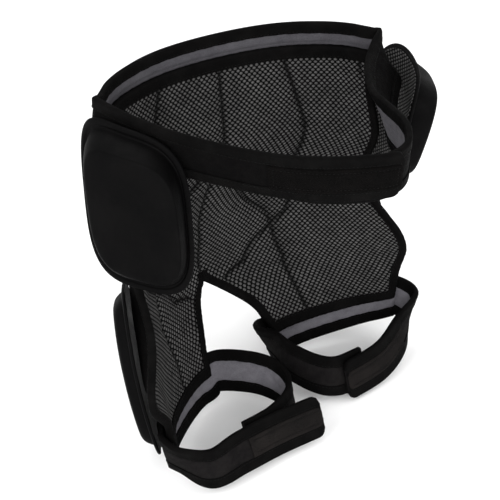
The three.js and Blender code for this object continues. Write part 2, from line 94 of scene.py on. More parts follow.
TAPE_REACH = 9.5  # how far a binding reaches in from the edge
TAPE_RUNS = (TAPE_REACH, 7, 4.5, 2)  # lines of a strap's binding, from its inner edge to the fold
TAPE_FLAT = 7  # a binding's inner edge waves beyond this
TAPE_FOLD = 1.1  # how far a strap's binding folds out past the foam
TAPE_OUT = 0.25  # room under a strap's binding on the outside
TAPE_IN = 0.15  # and on the lining
TAPE_SEWN = 1.6  # how far a binding's stitches are from its inner edge
TAPE_STITCH_OUT = 1.35  # height of these stitches over a strap's outside
TAPE_STITCH_IN = 2.05  # and over its inside
TAB_THICK = 1.6
TAB_BORDER = 4  # the sewn line inside a tab's edge
TAB_DENT = 0.6  # how deep that line is sewn in
TAB_DENT_WIDTH = 1.1
TAB_EDGE = 0.6  # lifts a tab's very edge, as if it were this far in
TAB_ROUND = 2  # how far in the edge is rounded
TAB_OFF = 0.05
TAB_BACK = 0.1
TAB_STITCH_SUNK = 0.35
TAB_COLUMNS = 41
BELT_TAB_LENGTH = 118
LEG_TAB_LENGTH = 88
PANEL_THICK = 4
OUTER_PUFF = 4.5
INNER_PUFF = 3.5
PUFF_POWER = 0.8
PUFF_RISE = 24  # distance from the tape at which the foam is full
QUILT_SPREAD = 24  # the same from a seam
QUILT_DENT = 0.9  # how deep a quilting seam pulls in on the outside
MESH_DENT = 1.9  # the same on the mesh side
QUILT_DENT_WIDTH = 2.8
SEWN_SHADE_WIDTH = 2.2  # how far beside a seam the mesh's dots give way to dark net: the cloth drawn in by the thread, and painted shade in the seam's groove
SEAM_START = 4  # distance from the panel's edge at which a seam's dent begins
SEAM_RISE = 8  # and over which it grows
PULL_OFF = 7  # distance from a seam at which the cloth is puckered most
PULL_WIDTH = 6
PULL_SLANT = 0.6
TOP_PRESS = 2  # how far the panel's top edge lies out against the belt
TOP_PRESS_Z = -45
TOP_PRESS_RISE = 40
HEM_PRESS = 3  # the same at the hem, against the leg straps
HEM_PRESS_ROW = 7
HEM_PRESS_ROWS = 0.8
MESH_GAP = 0.1
PANEL_TAPE_OUT = 0.3  # room under the panel's tape on the outside
PANEL_TAPE_IN = 1.15  # and on the mesh side
PANEL_TAPE_FOLD = 0.75  # how round the tape's fold is
PANEL_TAPE_SEWN = 0.8  # share of the tape's width at which it is sewn
PANEL_STITCH_OUT = 1.4
PANEL_STITCH_IN = 2.2
SEAM_STITCH_OUT = 0.15
SEAM_STITCH_IN = 0.25
SEAM_ROWS = (0.5, 7.7)  # rows of the panel between which quilting stitches show
BELT_SEAM_OUT = 7
LEG_SEAM_OUT = 8.7
PAST_EDGE = 1.05
HEM_LAP = 17
UNDER_BELT = 0.8
UNDER_LEG_STRAP = 7.45
STITCH = 2.6  # length of one stitch
STITCH_PITCH = 3.6
THREAD = 0.32  # radius of the thread
DRESSED = "_dressed"  # ends the name of a piece that stands for a node
STRAP_PARTS = ("lining", "binding_top", "binding_bottom", "tab", "stitches")

# How finely curves are followed.
NORMAL_STEP = 0.004  # share of the panel over which its slope is taken
SEAM_STEPS = 40  # places for each row of a seam's table
RUN_STEPS = 60  # places for each row of a strap's table
WIDTH_STEPS = 200  # places across the panel when its width is measured
PANEL_FOLD_STEPS = 8
TAPE_FOLD_STEPS = 9

# Ripples of the cloth, each as lengths and heights of waves.
STRAP_WAVES = ((31, 0.12), (47, 0.15))
LINING_WAVES = ((23, 0.12), (37, 0.18), (11, 0.05))
TAPE_WAVES = ((5.7, 0.08), (8.9, 0.1), (14.3, 0.12))
TAPE_EDGE_WAVES = ((6.7, 0.12), (17.9, 0.2))
TAB_WAVES = ((19, 0.1), (29, 0.14))
SEAM_WAVES = ((9.1, 0.16), (13.7, 0.22), (21.3, 0.2))
PANEL_TAPE_WAVES = ((5.9, 0.1), (8.3, 0.12), (14.1, 0.12))
STRAP_SLANT = 17  # how far the waves of a strap run on from its middle to its edge
LINING_SLANT = 1.5  # the same for each millimetre up a lining
TAB_SLANT = 0.7
TAPE_SHIFT = 3  # how far the waves of a strap's two tapes are off its middle

# How the garment hangs: degrees about Z at each height.
HANG = table("z turn", (30, -11), (-75, -11), (-170, 9), (-360, 9))

# Half of the seat panel's middle surface before the twist, a row per height: four points in
# plan from the centre or the notch to the free front edge, the front edge's lift, and the foam.
PANEL = table(
    "z inner_x inner_y back_x back_y side_x side_y front_x front_y lift puff",
    (0, 0, 126, 62, 119.5, 113, 97.5, 140, 70, 0, 0),
    (-30, 0, 122, 64, 116, 113, 98, 140, 71, 0, 0),
    (-75, 0, 116, 68, 111, 117, 86, 141, 57, 0, 1),
    (-125, 0, 110, 70, 103, 121, 74, 142, 40, 0, 1),
    (-175, 0, 108, 72, 97, 134, 54, 163, 7, 0, 1),
    (-230, 0, 104, 70, 86, 134, 40, 184, -13, 6, 1),
    (-240, 12, 97, 73, 80, 134, 36, 183.5, -15, 9, 0.8),
    (-263, 36, 70, 79, 60, 133, 27, 171, -17, 13, 0.3),
    (-296, 50, 44, 86, 35, 132, 10, 162, -20, 17, 0),
)
PLAN = ("inner", "back", "side", "front")
NOTCH_ROW = 5
NOTCH_Z = -230
HEM_ROW = 8
HEM_Z = -296
TAPE_LINES = (0, 2.5, 5.5, TAPE_REACH)  # grid lines under the panel's tape, top and hem
SIDE_LINES = (0, 1.8, 3.6, 5.6)  # the same at the front edges and the notch
HEM_LINES = 0.8  # the hem's lines are closer by this share, since the hem leans
NOTCH_SLANT = 1.35  # the notch's edge runs aslant, so its lines lie further apart along a row
UPPER_ROWS = 92
LOWER_ROWS = 46
MIDDLE_COLUMNS = 90

# Quilting seams on each half of the panel, in its own across and down.
CENTRE_SEAM = table("across down", (0, 0), (0, 2), (0, 4), (0, 5))
SIDE_SEAM = table(
    "across down",
    (0.36, 0), (0.372, 0.6), (0.42, 1.7), (0.46, 2.76), (0.49, 3.9),
    (0.41, 4.35), (0.28, 4.81), (0.12, 5.7), (0.02, 6.4),
)
LOBE_SEAM = table(
    "across down",
    (0.0, 2.6), (0.14, 3.1), (0.28, 3.7), (0.39, 4.2), (0.43, 5.2), (0.41, 6.2), (0.38, 8),
)
END_SEAM = table("across down", (0.87, 0), (0.91, 0.6), (0.965, 1.25), (0.985, 1.6))

# Places across the panel where a sewn strap is set out.
SEWN_ACROSS = (0, 0.11, 0.21, 0.31, 0.4, 0.49, 0.63, 0.77, 0.89, 1, PAST_EDGE)

# Free ends of the straps, a row per bend: lean is how far the top edge tips out.
BELT_LEFT = table(
    "x y z lean",
    (-45, -73, -8, 0.2),
    (-26, -98, -7, 0.15),
    (8, -125, -4, 0.15),
    (34, -131, 1, 0.1),
    (53, -117, 3, 0),
    (65, -95, 2, -0.05),
    (76, -64, 0, -0.2),
    (93, -36, -1, -0.55),
    (126, 0, -2, -0.8),
    (152, 24, -1, -0.7),
)
BELT_RIGHT = table(
    "x y z lean",
    (-122, 48, 0, 0.05),
    (-99, -6, 0, 0.2),
    (-66, -64, 0, 0.2),
    (-36, -105, 3, 0.15),
    (3, -134, 5, 0.15),
    (24, -142, 5, 0.15),
)
RIGHT_LEG_INNER = table(
    "x y z lean",
    (-80, -57, -309, -0.46),
    (-45, -56, -308, -0.46),
    (-17, -46, -305, -0.3),
    (-7, -27, -302, 0),
    (-10, -5, -298, 0.3),
    (-22, 16, -297, 0.45),
    (-43, 39.5, -300, 0.62),
)
RIGHT_LEG_FRONT = table(
    "x y z lean",
    (-160, -62, -287, 0.3),
    (-136, -74, -301, -0.2),
    (-97, -71, -303, -0.48),
    (-50, -69, -305, -0.5),
    (-1, -73, -305, -0.45),
)
LEFT_LEG_INNER = table(
    "x y z lean",
    (86, -35, -309, -0.3),
    (52, -36, -305, -0.3),
    (36, -21, -303, -0.2),
    (25, 5, -298, -0.1),
    (26, 31, -296, 0.1),
    (28, 52.4, -300, 0.52),
)
LEFT_LEG_FRONT = table(
    "x y z lean",
    (172, -10.5, -287.5, 0.32),
    (143, -29, -298, -0.25),
    (104, -44, -305, -0.3),
    (56, -46.2, -308, -0.3),
)

# Creases in the linings: where along the strap and up its width, the slant in millimetres along
# for each millimetre up, the depth and the width.
BELT_CREASES = table(
    "along rise slant depth width",
    (0.16, 4, 0.4, 0.7, 2.2),
    (0.3, 6, -0.7, 0.5, 2.5),
    (0.44, 8, 0.9, 0.5, 2.4),
    (0.58, 7, -0.5, 0.6, 2.2),
    (0.72, 5, 0.6, 0.5, 2.5),
)
LEG_CREASES = table(
    "along rise slant depth width",
    (0.2, 0, 2.4, 0.8, 2.6),
    (0.27, 3, 1.6, 0.6, 2.2),
    (0.36, -2, -1.4, 0.6, 2.4),
    (0.5, 2, -2.2, 0.8, 2.8),
    (0.62, 0, 1.8, 0.6, 2.4),
    (0.72, -3, -1.2, 0.5, 2.2),
)

# Moulded pads
HIP_PLACES = table(
    "x y z facing flare skew",
    (-144.5, 31, -56, 202, 13, 0.24),
    (163.6, 23.8, -66, -21, -10, 0.3),
)
HIP_HALF_WIDTH = 60
HIP_HALF_HEIGHT = 75
HIP_TAPER = 0.08
HIP_BEND = 160
THIGH_ACROSS = 0.72
THIGH_TOP = -144
THIGH_FACING = -200
THIGH_TOP_OFF = 9
THIGH_HEM_OFF = 18
THIGH_DROP = 16
THIGH_HALF_WIDTH = 46
THIGH_HALF_HEIGHT = 84
THIGH_BEND = 320
THIGH_BOW = 6
PAD_SQUARENESS = 3.6
PAD_SEGMENTS = 144
PAD_STEPS = 5  # rings between two rows of a profile

# Pads in section, from the middle of the back face over the rim, which all share, to the middle of
# the top. wide and tall are shares of the half width and height, and shift is towards the
# wearer's front.
PAD_RIM = table(
    "wide tall rise shift",
    (0, 0, 0, 0),
    (0.5, 0.5, 0, 0),
    (0.9, 0.9, 0, 0),
    (0.985, 0.985, 0.1, 0),
    (1, 1, 1.5, 0),
    (0.988, 0.988, 2.9, 0),
)
HIP_CROWN = table(
    "wide tall rise shift",
    (0.955, 0.965, 3.3, 0),
    (0.925, 0.94, 3.2, 0),
    (0.905, 0.92, 2.1, 0.5),
    (0.89, 0.9, 2, 1),
    (0.87, 0.88, 3.4, 1.5),
    (0.83, 0.845, 9.5, 4),
    (0.765, 0.8, 17, 7.5),
    (0.72, 0.765, 21.6, 9.6),
    (0.695, 0.745, 23.6, 10.4),
    (0.66, 0.715, 24.5, 10.6),
    (0.58, 0.64, 24.8, 10.6),
    (0.4, 0.45, 25.1, 10.6),
    (0.2, 0.22, 25.4, 10.6),
    (0, 0, 25.5, 10.6),
)
THIGH_CROWN = table(
    "wide tall rise shift",
    (0.945, 0.955, 3.4, 0),
    (0.905, 0.93, 3.2, 0),
    (0.885, 0.915, 2.1, 0),
    (0.865, 0.9, 2, 0),
    (0.845, 0.885, 3.6, 0),
    (0.81, 0.86, 7, 0),
    (0.77, 0.82, 10.4, 0),
    (0.72, 0.78, 12.2, 0),
    (0.64, 0.72, 13, 0),
    (0.4, 0.45, 13.6, 0),
    (0.2, 0.22, 13.9, 0),
    (0, 0, 14, 0),
)
HIP_LINING_SHARE = 0.94
HIP_LINING_GAP = 0.3
HIP_LINING_RINGS = 16

# Looks of the cloths, a row each in this order: specular level, sheen, grains per metre and their
# stretch, faded patches per metre, lint, how far the patches fade, the roughness where the cloth is
# dark and where it is pale, and the height of the relief in metres with its strength.
CLOTHS = ("neoprene", "lining", "tape", "moulded", "grip", "mesh", "thread")
LOOKS = table(
    "specular sheen grains stretch patches lint fading rough smooth relief strength",
    (0.03, 0, 1400, 1, 30, 0.5, 0.35, 0.9, 0.72, 0.0004, 1),
    (0.08, 0.03, 1100, 0.6, 26, 0.2, 0.45, 0.95, 0.8, 0.0005, 1),
    (0.025, 0, 1200, 1, 40, 0.3, 0.4, 0.85, 0.65, 0.0005, 1),
    (0.025, 0, 1900, 1, 16, 0.25, 0.4, 0.6, 0.46, 0.00025, 0.7),
    (0.03, 0, 1000, 1, 34, 0.8, 0.45, 0.98, 0.85, 0.0009, 1),
    (0.04, 0, 900, 1, 24, 0, 0.4, 0.95, 0.8, 0.0009, 1),
    (0.08, 0, 3000, 1, 0, 0, 0, 0.7, 0.5, 0.0001, 1),
)
# Their dark, pale and faded colours.
COLOURS = {
    "neoprene": ((0.0011, 0.001, 0.0011), (0.0023, 0.0021, 0.0021), (0.0042, 0.0038, 0.0037)),
    "lining": ((0.085, 0.081, 0.092), (0.128, 0.123, 0.137), (0.155, 0.15, 0.164)),
    "tape": ((0.0011, 0.0011, 0.0011), (0.0026, 0.0024, 0.0024), (0.0054, 0.0051, 0.0049)),
    "moulded": ((0.0012, 0.0012, 0.0013), (0.002, 0.0019, 0.002), (0.0034, 0.0031, 0.0031)),
    "grip": ((0.0011, 0.001, 0.001), (0.003, 0.0027, 0.0026), (0.0046, 0.0039, 0.0037)),
    "mesh": ((0.042, 0.041, 0.041), (0.098, 0.096, 0.095), (0.12, 0.118, 0.116)),
    "thread": ((0.00099, 0.00099, 0.00099), (0.0035, 0.0033, 0.0032), (0.0035, 0.0033, 0.0032)),
}
# Ribs and rows per metre of the woven ones, and the grain's share of their relief.
WEAVES = {"neoprene": (1000, 800, 0.6), "lining": (700, 500, 0.7), "tape": (850, 420, 0.3)}
NET_COLOUR = (0.0018, 0.0018, 0.0018, 1)
LOOPS = 950  # loops per metre of the grip patches
PAINTED_LIGHT_TONE = 3.5  # tones of the copies of a cloth: paler with painted light above 1, darker with painted shade below 1
PILE_PAINTED_LIGHT_TONE = 3.9
PAINTED_SHADE_TONE = 0.5

# Patterns of the cloths: a range is where a pattern begins to show and where it is full.
BROAD_GRAINS = 0.13  # broad grains for each fine one
FINE_SHARE = 0.6  # share of the fine grain in the shade
GRAIN_RANGE = (0.32, 0.68)
PATCH_RANGE = (0.38, 0.72)
LINT_RANGE = (0.71, 0.78)
LINT_SPECKS = 1300  # per metre
RIB_HEIGHT = 0.25
RIB_MIDDLE = 0.5
DOT_ACROSS = 0.0057  # spacing of the mesh's dots in metres
DOT_DOWN = 0.0058
DOT_OVAL = 1.25
DOT_RANGE = (0.36, 0.2)
DOT_RISE_RANGE = (0.42, 0.05)

UP = np.array([0.0, 0.0, 1.0])


# Curves and frames


def unit(vectors):
    return vectors / np.linalg.norm(vectors, axis=-1, keepdims=True)


def ease(share):
    """0 below 0, 1 above 1, and smooth between."""
    held = np.clip(share, 0, 1)
    return held * held * (3 - 2 * held)


def blend(a, b, c, d, t):
    """A smooth curve through four numbers, from b at 0 to c at 1."""
    slope_b = (c - a) / 2
    slope_c = (d - b) / 2
    bend = 3 * (c - b) - 2 * slope_b - slope_c
    twist = 2 * (b - c) + slope_b + slope_c
    return b + t * (slope_b + t * (bend + t * twist))


def column(rows, name, place):
    """One column of a table at places between its rows."""
    values = rows[name]
    place = np.asarray(place, float)
    last = len(values) - 1
    first = np.clip(np.floor(place).astype(int), 0, last - 1)
    near = [values[np.clip(first + step, 0, last)] for step in (-1, 0, 1, 2)]
    return blend(*near, place - first)


def panel_column(name, down):
    """One column of the panel's table at places between its rows, smooth over the height."""
    values = PANEL[name]
    heights = PANEL["z"]
    rises = np.diff(values) / np.diff(heights)
    gaps = -np.diff(heights)
    inner = (gaps[1:] * rises[:-1] + gaps[:-1] * rises[1:]) / (gaps[1:] + gaps[:-1])
    slopes = np.concatenate([rises[:1], inner, rises[-1:]])
    first = np.clip(np.floor(down).astype(int), 0, len(values) - 2)
    t = down - first
    tall = heights[first + 1] - heights[first]
    start = values[first] * (1 + 2 * t) + slopes[first] * tall * t
    end = values[first + 1] * (3 - 2 * t) + slopes[first + 1] * tall * (t - 1)
    return start * (1 - t) ** 2 + end * t * t


def backwards(rows):
    return {name: values[::-1] for name, values in rows.items()}


def turn_at(z):
    """The twist at a height, in radians."""
    turn = np.full(np.shape(z), HANG["turn"][0])
    for i in range(1, len(HANG["z"])):
        low = HANG["z"][i]
        high = HANG["z"][i - 1]
        share = ease((z - low) / (high - low))
        here = HANG["turn"][i] + (HANG["turn"][i - 1] - HANG["turn"][i]) * share
        turn = np.where(z <= high, here, turn)
    return np.radians(turn)


def panel_point(side, across, down):
    """The panel's middle surface. side is -1 for the wearer's right and 1 for the left."""
    side, across, down = np.broadcast_arrays(*(np.asarray(v, float) for v in (side, across, down)))
    z = panel_column("z", down) + panel_column("lift", down) * across * across
    xs = [panel_column(name + "_x", down) for name in PLAN]
    ys = [panel_column(name + "_y", down) for name in PLAN]
    xs[0] = np.where(down <= NOTCH_ROW, 0, xs[0])
    xs = np.stack([2 * xs[0] - xs[1], *xs, 2 * xs[3] - xs[2]])
    ys = np.stack([ys[1], *ys, 2 * ys[3] - ys[2]])
    first = np.clip(np.floor(across * 3).astype(int), 0, 2)
    share = across * 3 - first

    def along_row(values):
        near = [np.take_along_axis(values, (first + i)[None], 0)[0] for i in range(4)]
        return blend(*near, share)

    x = side * along_row(xs)
    y = along_row(ys)
    turn = turn_at(z)
    turned_x = x * np.cos(turn) - y * np.sin(turn)
    turned_y = x * np.sin(turn) + y * np.cos(turn)
    return np.stack([turned_x, turned_y, z], -1)


def panel_frame(side, across, down):
    """The panel's point with its outward normal."""
    side, across, down = np.broadcast_arrays(*(np.asarray(v, float) for v in (side, across, down)))
    leftward = panel_point(side, across + NORMAL_STEP, down)
    leftward = leftward - panel_point(side, across - NORMAL_STEP, down)
    upward = panel_point(side, across, np.maximum(down - NORMAL_STEP, 0))
    upward = upward - panel_point(side, across, np.minimum(down + NORMAL_STEP, HEM_ROW))
    normal = unit(np.cross(upward, leftward * side[..., None]))
    return panel_point(side, across, down), normal


FINE_DOWN = np.linspace(0, HEM_ROW, 4001)
FINE_Z = panel_column("z", FINE_DOWN)


def down_at(z):
    """The panel's row at a height."""
    return np.interp(-np.asarray(z, float), -FINE_Z, FINE_DOWN)


def ripple(distance, waves):
    """A small uneven ripple along a piece: waves are (length, height) in millimetres."""
    return sum(high * np.sin(2 * math.pi * distance / long + long) for long, high in waves)


def lengths(points, axis=0):
    """Running length of grid lines along one axis."""
    steps = np.linalg.norm(np.diff(points, axis=axis), axis=-1)
    return np.concatenate([np.zeros_like(np.take(steps, [0], axis)), np.cumsum(steps, axis)], axis)


# Node helpers


def fill(tree, socket, value):
    """Sets a socket, or links it to another one."""
    if isinstance(value, bpy.types.NodeSocket):
        tree.links.new(value, socket)
    else:
        socket.default_value = value


def add_node(tree, kind, **inputs):
    """A node with its inputs filled. Names that start with set_ are settings, and i0 is input 0."""
    node = tree.nodes.new(kind)
    for name, value in inputs.items():
        if name.startswith("set_"):
            setattr(node, name[4:], value)
        elif name[1:].isdigit():
            fill(tree, node.inputs[int(name[1:])], value)
        else:
            fill(tree, node.inputs[name.replace("_", " ")], value)
    return node


def first_out(tree, kind, **inputs):
    """The first output of a new node."""
    return add_node(tree, kind, **inputs).outputs[0]


def use(tree, group, **inputs):
    """The outputs of a shader group put to use."""
    return add_node(tree, "ShaderNodeGroup", set_node_tree=group, **inputs).outputs


def math_node(tree, operation, first, second=0.0, third=0.0):
    return first_out(tree, "ShaderNodeMath", set_operation=operation, i0=first, i1=second, i2=third)


def vector_node(tree, operation, first, second=(0.0, 0.0, 0.0)):
    node = add_node(tree, "ShaderNodeVectorMath", set_operation=operation, i0=first, i1=second)
    return node.outputs["Value" if operation == "LENGTH" else "Vector"]


def mix_colours(tree, share, dark, light):
    node = add_node(tree, "ShaderNodeMix", set_data_type="RGBA", Factor=share, i6=dark, i7=light)
    return node.outputs[2]


def noise(tree, place, scale, detail, roughness=0.5, distortion=0.0):
    kind = "ShaderNodeTexNoise"
    node = add_node(tree, kind, Vector=place, Scale=scale, Detail=detail, Roughness=roughness)
    node.inputs["Distortion"].default_value = distortion
    return node.outputs["Fac"]


def span(tree, value, low, high, to_low=0.0, to_high=1.0):
    """A value eased from one range to another."""
    node = add_node(tree, "ShaderNodeMapRange", set_interpolation_type="SMOOTHSTEP", Value=value)
    for name, number in (("From Min", low), ("From Max", high), ("To Min", to_low), ("To Max", to_high)):
        node.inputs[name].default_value = number
    return node.outputs["Result"]


def new_group(name, inputs, outputs):
    """An empty shader group that takes a place: inputs are (name, default) and outputs are names."""
    tree = bpy.data.node_groups.new(name, "ShaderNodeTree")
    tree.interface.new_socket("Place", in_out="INPUT", socket_type="NodeSocketVector")
    for label, value in inputs:
        socket = tree.interface.new_socket(label, in_out="INPUT", socket_type="NodeSocketFloat")
        socket.default_value = value
    for label in outputs:
        tree.interface.new_socket(label, in_out="OUTPUT", socket_type="NodeSocketFloat")
    return tree, tree.nodes.new("NodeGroupInput").outputs, tree.nodes.new("NodeGroupOutput").inputs


# Shader groups that the materials share


def cloth_grain_group():
    """Uneven fibre at one size, for shade and height."""
    inputs = (("Grains per metre", 900.0), ("Stretch", 1.0))
    tree, given, result = new_group("cloth grain", inputs, ("Shade", "Height"))
    stretched = first_out(tree, "ShaderNodeCombineXYZ", X=given["Stretch"], Y=1.0, Z=1.0)
    place = vector_node(tree, "MULTIPLY", given["Place"], stretched)
    fine = noise(tree, place, given["Grains per metre"], detail=3.0, roughness=0.65)
    wider = math_node(tree, "MULTIPLY", given["Grains per metre"], BROAD_GRAINS)
    broad = math_node(tree, "MULTIPLY", noise(tree, place, wider, detail=2.0), 1 - FINE_SHARE)
    both = math_node(tree, "MULTIPLY_ADD", fine, FINE_SHARE, broad)
    tree.links.new(span(tree, both, *GRAIN_RANGE), result["Shade"])
    tree.links.new(fine, result["Height"])
    return tree


def rubbed_group():
    """Broad faded patches with a scatter of lint, as handled cloth has."""
    inputs = (("Patches per metre", 22.0), ("Lint", 0.5))
    tree, given, result = new_group("rubbed cloth", inputs, ("Mask",))
    place = given["Place"]
    patches = noise(tree, place, given["Patches per metre"], detail=4.0, roughness=0.6, distortion=0.4)
    specks = span(tree, noise(tree, place, LINT_SPECKS, detail=1.0), *LINT_RANGE)
    lint = math_node(tree, "MULTIPLY", specks, given["Lint"])
    tree.links.new(math_node(tree, "ADD", span(tree, patches, *PATCH_RANGE), lint), result["Mask"])
    return tree


def ribs_group():
    """Woven ribs along both directions of a piece's own map."""
    inputs = (("Ribs per metre", 900.0), ("Rows per metre", 500.0))
    tree, given, result = new_group("woven ribs", inputs, ("Height",))
    parts = add_node(tree, "ShaderNodeSeparateXYZ", Vector=given["Place"]).outputs
    waves = []
    for axis, rate in (("X", "Ribs per metre"), ("Y", "Rows per metre")):
        along = math_node(tree, "MULTIPLY", parts[axis], given[rate])
        waves.append(math_node(tree, "SINE", math_node(tree, "MULTIPLY", along, 2 * math.pi)))
    woven = math_node(tree, "MULTIPLY", *waves)
    woven = math_node(tree, "MULTIPLY_ADD", woven, RIB_HEIGHT, RIB_MIDDLE)
    tree.links.new(woven, result["Height"])
    return tree


def mesh_dots_group():
    """Staggered raised dots of an open mesh, in a piece's own map."""
    inputs = (("Across per metre", 1 / DOT_ACROSS), ("Down per metre", 1 / DOT_DOWN))
    tree, given, result = new_group("mesh dots", inputs, ("Dots", "Height"))
    across = given["Across per metre"]
    pitch = first_out(tree, "ShaderNodeCombineXYZ", X=across, Y=given["Down per metre"])
    place = vector_node(tree, "MULTIPLY", given["Place"], pitch)
    near = []
    for shift in (0.0, 0.5):
        inside = vector_node(tree, "FRACTION", vector_node(tree, "ADD", place, (shift, shift, 0.0)))
        middle = vector_node(tree, "SUBTRACT", inside, (0.5, 0.5, 0.0))
        oval = vector_node(tree, "MULTIPLY", middle, (1.0, DOT_OVAL, 0.0))
        near.append(vector_node(tree, "LENGTH", oval))
    distance = math_node(tree, "MINIMUM", *near)
    tree.links.new(span(tree, distance, *DOT_RANGE), result["Dots"])
    tree.links.new(span(tree, distance, *DOT_RISE_RANGE), result["Height"])
    return tree


GRAIN = cloth_grain_group()
RUBBED = rubbed_group()
RIBS = ribs_group()
DOTS = mesh_dots_group()


# Materials


def new_material(name, specular, sheen=0.0):
    """An empty material with the settings that are the same all over it."""
    material = bpy.data.materials.new(name)
    material.use_nodes = True
    tree = material.node_tree
    shader = tree.nodes["Principled BSDF"]
    shader.inputs["Specular IOR Level"].default_value = specular
    shader.inputs["Sheen Weight"].default_value = sheen
    return material, tree, shader, tree.nodes.new("ShaderNodeTexCoord").outputs


def cloth_material(name, cloth, tone=1):
    """A worn cloth with the looks of its row, paler with painted light by a tone above 1 and darker with
    painted shade by one below.
    """
    look = {key: values[CLOTHS.index(cloth)] for key, values in LOOKS.items()}
    material, tree, shader, place = new_material(name, look["specular"], look["sheen"])
    spot = place["Object"]
    grain = use(tree, GRAIN, Place=spot, Grains_per_metre=look["grains"], Stretch=look["stretch"])
    worn = use(tree, RUBBED, Place=spot, Patches_per_metre=look["patches"], Lint=look["lint"])["Mask"]
    shade = grain["Shade"]
    height = grain["Height"]
    if cloth in WEAVES:
        ribs, rows, share = WEAVES[cloth]
        weave = use(tree, RIBS, Place=place["UV"], Ribs_per_metre=ribs, Rows_per_metre=rows)["Height"]
        height = math_node(tree, "MULTIPLY_ADD", height, share, weave)
        shade = weave if cloth == "tape" else shade
    if cloth == "grip":
        loops = add_node(tree, "ShaderNodeTexVoronoi", Vector=spot, Scale=LOOPS).outputs["Distance"]
        height = math_node(tree, "SUBTRACT", height, loops)
        shade = math_node(tree, "SUBTRACT", 1.0, loops)
    # The tone paints light or shade evenly over all three colours.
    dark, pale, faded = ((red * tone, green * tone, blue * tone, 1) for red, green, blue in COLOURS[cloth])
    base = mix_colours(tree, shade, dark, pale)
    colour = mix_colours(tree, math_node(tree, "MULTIPLY", worn, look["fading"]), base, faded)
    # Near a quilting seam the dots give way to the dark net: partly the mesh drawn in by the thread,
    # partly painted shade in the seam's groove.
    if cloth == "mesh":
        dots = use(tree, DOTS, Place=place["UV"])
        seam = add_node(tree, "ShaderNodeAttribute", set_attribute_name="sewn").outputs["Fac"]
        open_dots = math_node(tree, "MULTIPLY", dots["Dots"], math_node(tree, "SUBTRACT", 1.0, seam))
        colour = mix_colours(tree, open_dots, NET_COLOUR, colour)
        height = dots["Height"]
    rubbed = worn if cloth == "moulded" else grain["Shade"]
    rough = span(tree, rubbed, 0.0, 1.0, look["rough"], look["smooth"])
    bump = first_out(
        tree, "ShaderNodeBump", Strength=look["strength"], Distance=look["relief"], Height=height
    )
    for name, value in (("Base Color", colour), ("Roughness", rough), ("Normal", bump)):
        tree.links.new(value, shader.inputs[name])
    return material


NEOPRENE = cloth_material("black neoprene", "neoprene")
# A paler copy with painted light, for the leg straps.
PAINTED_LIGHT_NEOPRENE = cloth_material("neoprene with painted light", "neoprene", PAINTED_LIGHT_TONE)
MOULDED = cloth_material("moulded black foam", "moulded")
LINING = cloth_material("grey lining knit", "lining")
# A darker copy with painted shade, for the belt's lining.
PAINTED_SHADE_LINING = cloth_material("lining knit with painted shade", "lining", PAINTED_SHADE_TONE)
MESH = cloth_material("dotted spacer mesh", "mesh")
TAPE = cloth_material("ribbed binding tape", "tape")
GRIP = cloth_material("loop pile closure", "grip")
# A paler copy with painted light, for the leg straps' patches.
PAINTED_LIGHT_GRIP = cloth_material("loop pile with painted light", "grip", PILE_PAINTED_LIGHT_TONE)
THREAD_BLACK = cloth_material("black sewing thread", "thread")


# Meshes


def make_piece(name, points, faces, places, material, thickness=0, crisp=55, sewn=None):
    """A piece from points in millimetres, with its own map in metres. A sheet gets a thickness
    on the side that its faces look to. sewn is how near each point is to a quilting seam."""
    mesh = bpy.data.meshes.new(name + DRESSED)
    mesh.from_pydata((np.asarray(points) * MM).tolist(), [], [list(map(int, face)) for face in faces])
    layer = mesh.uv_layers.new(name="cloth")
    corner = np.empty(len(mesh.loops), np.int32)
    mesh.loops.foreach_get("vertex_index", corner)
    layer.data.foreach_set("uv", (np.asarray(places) * MM)[corner].astype(np.float32).ravel())
    if sewn is not None:
        near_seam = mesh.attributes.new("sewn", "FLOAT", "POINT")
        near_seam.data.foreach_set("value", np.asarray(sewn, np.float32))
    mesh.materials.append(material)
    piece = bpy.data.objects.new(name + DRESSED, mesh)
    bpy.context.collection.objects.link(piece)
    clean(mesh, closed=not thickness)
    if thickness:
        wall = piece.modifiers.new("thickness", "SOLIDIFY")
        wall.thickness = thickness * MM
        wall.offset = 1
        settle(piece)
    piece.data.shade_smooth()
    piece.data.set_sharp_from_angle(angle=math.radians(crisp))
    return piece


def clean(mesh, closed):
    """Drops loose points, and turns the faces of a closed mesh outwards."""
    work = bmesh.new()
    work.from_mesh(mesh)
    loose = [point for point in work.verts if not point.link_faces]
    bmesh.ops.delete(work, geom=loose, context="VERTS")
    if closed:
        bmesh.ops.recalc_face_normals(work, faces=work.faces)
    work.to_mesh(mesh)
    work.free()


def settle(piece):
    """Makes what a piece's modifiers show its own plain mesh."""
    bpy.context.view_layer.update()
    shown = piece.evaluated_get(bpy.context.evaluated_depsgraph_get())
    mesh = bpy.data.meshes.new_from_object(shown)
    old = piece.data
    piece.modifiers.clear()
    piece.data = mesh
    mesh.name = old.name
    bpy.data.meshes.remove(old)


def grid_faces(rows, columns):
    """Quads of a grid whose points are numbered row by row."""
    corner = np.arange(rows * columns).reshape(rows, columns)
    near = corner[:-1, :-1]
    return np.stack([near, corner[:-1, 1:], corner[1:, 1:], corner[1:, :-1]], -1).reshape(-1, 4)


def closed_wall(front, back, faces):
    """Points and faces of a wall between two copies of one set of quads."""
    shift = len(front)
    faces = np.asarray(faces)
    steps = np.concatenate([faces[:, [i, (i + 1) % 4]] for i in range(4)])
    known = set(map(tuple, steps.tolist()))
    free = np.array([step for step in map(tuple, steps.tolist()) if step[::-1] not in known])
    rim = np.stack([free[:, 0], free[:, 0] + shift, free[:, 1] + shift, free[:, 1]], -1)
    return np.concatenate([front, back]), np.concatenate([faces, faces[:, ::-1] + shift, rim])


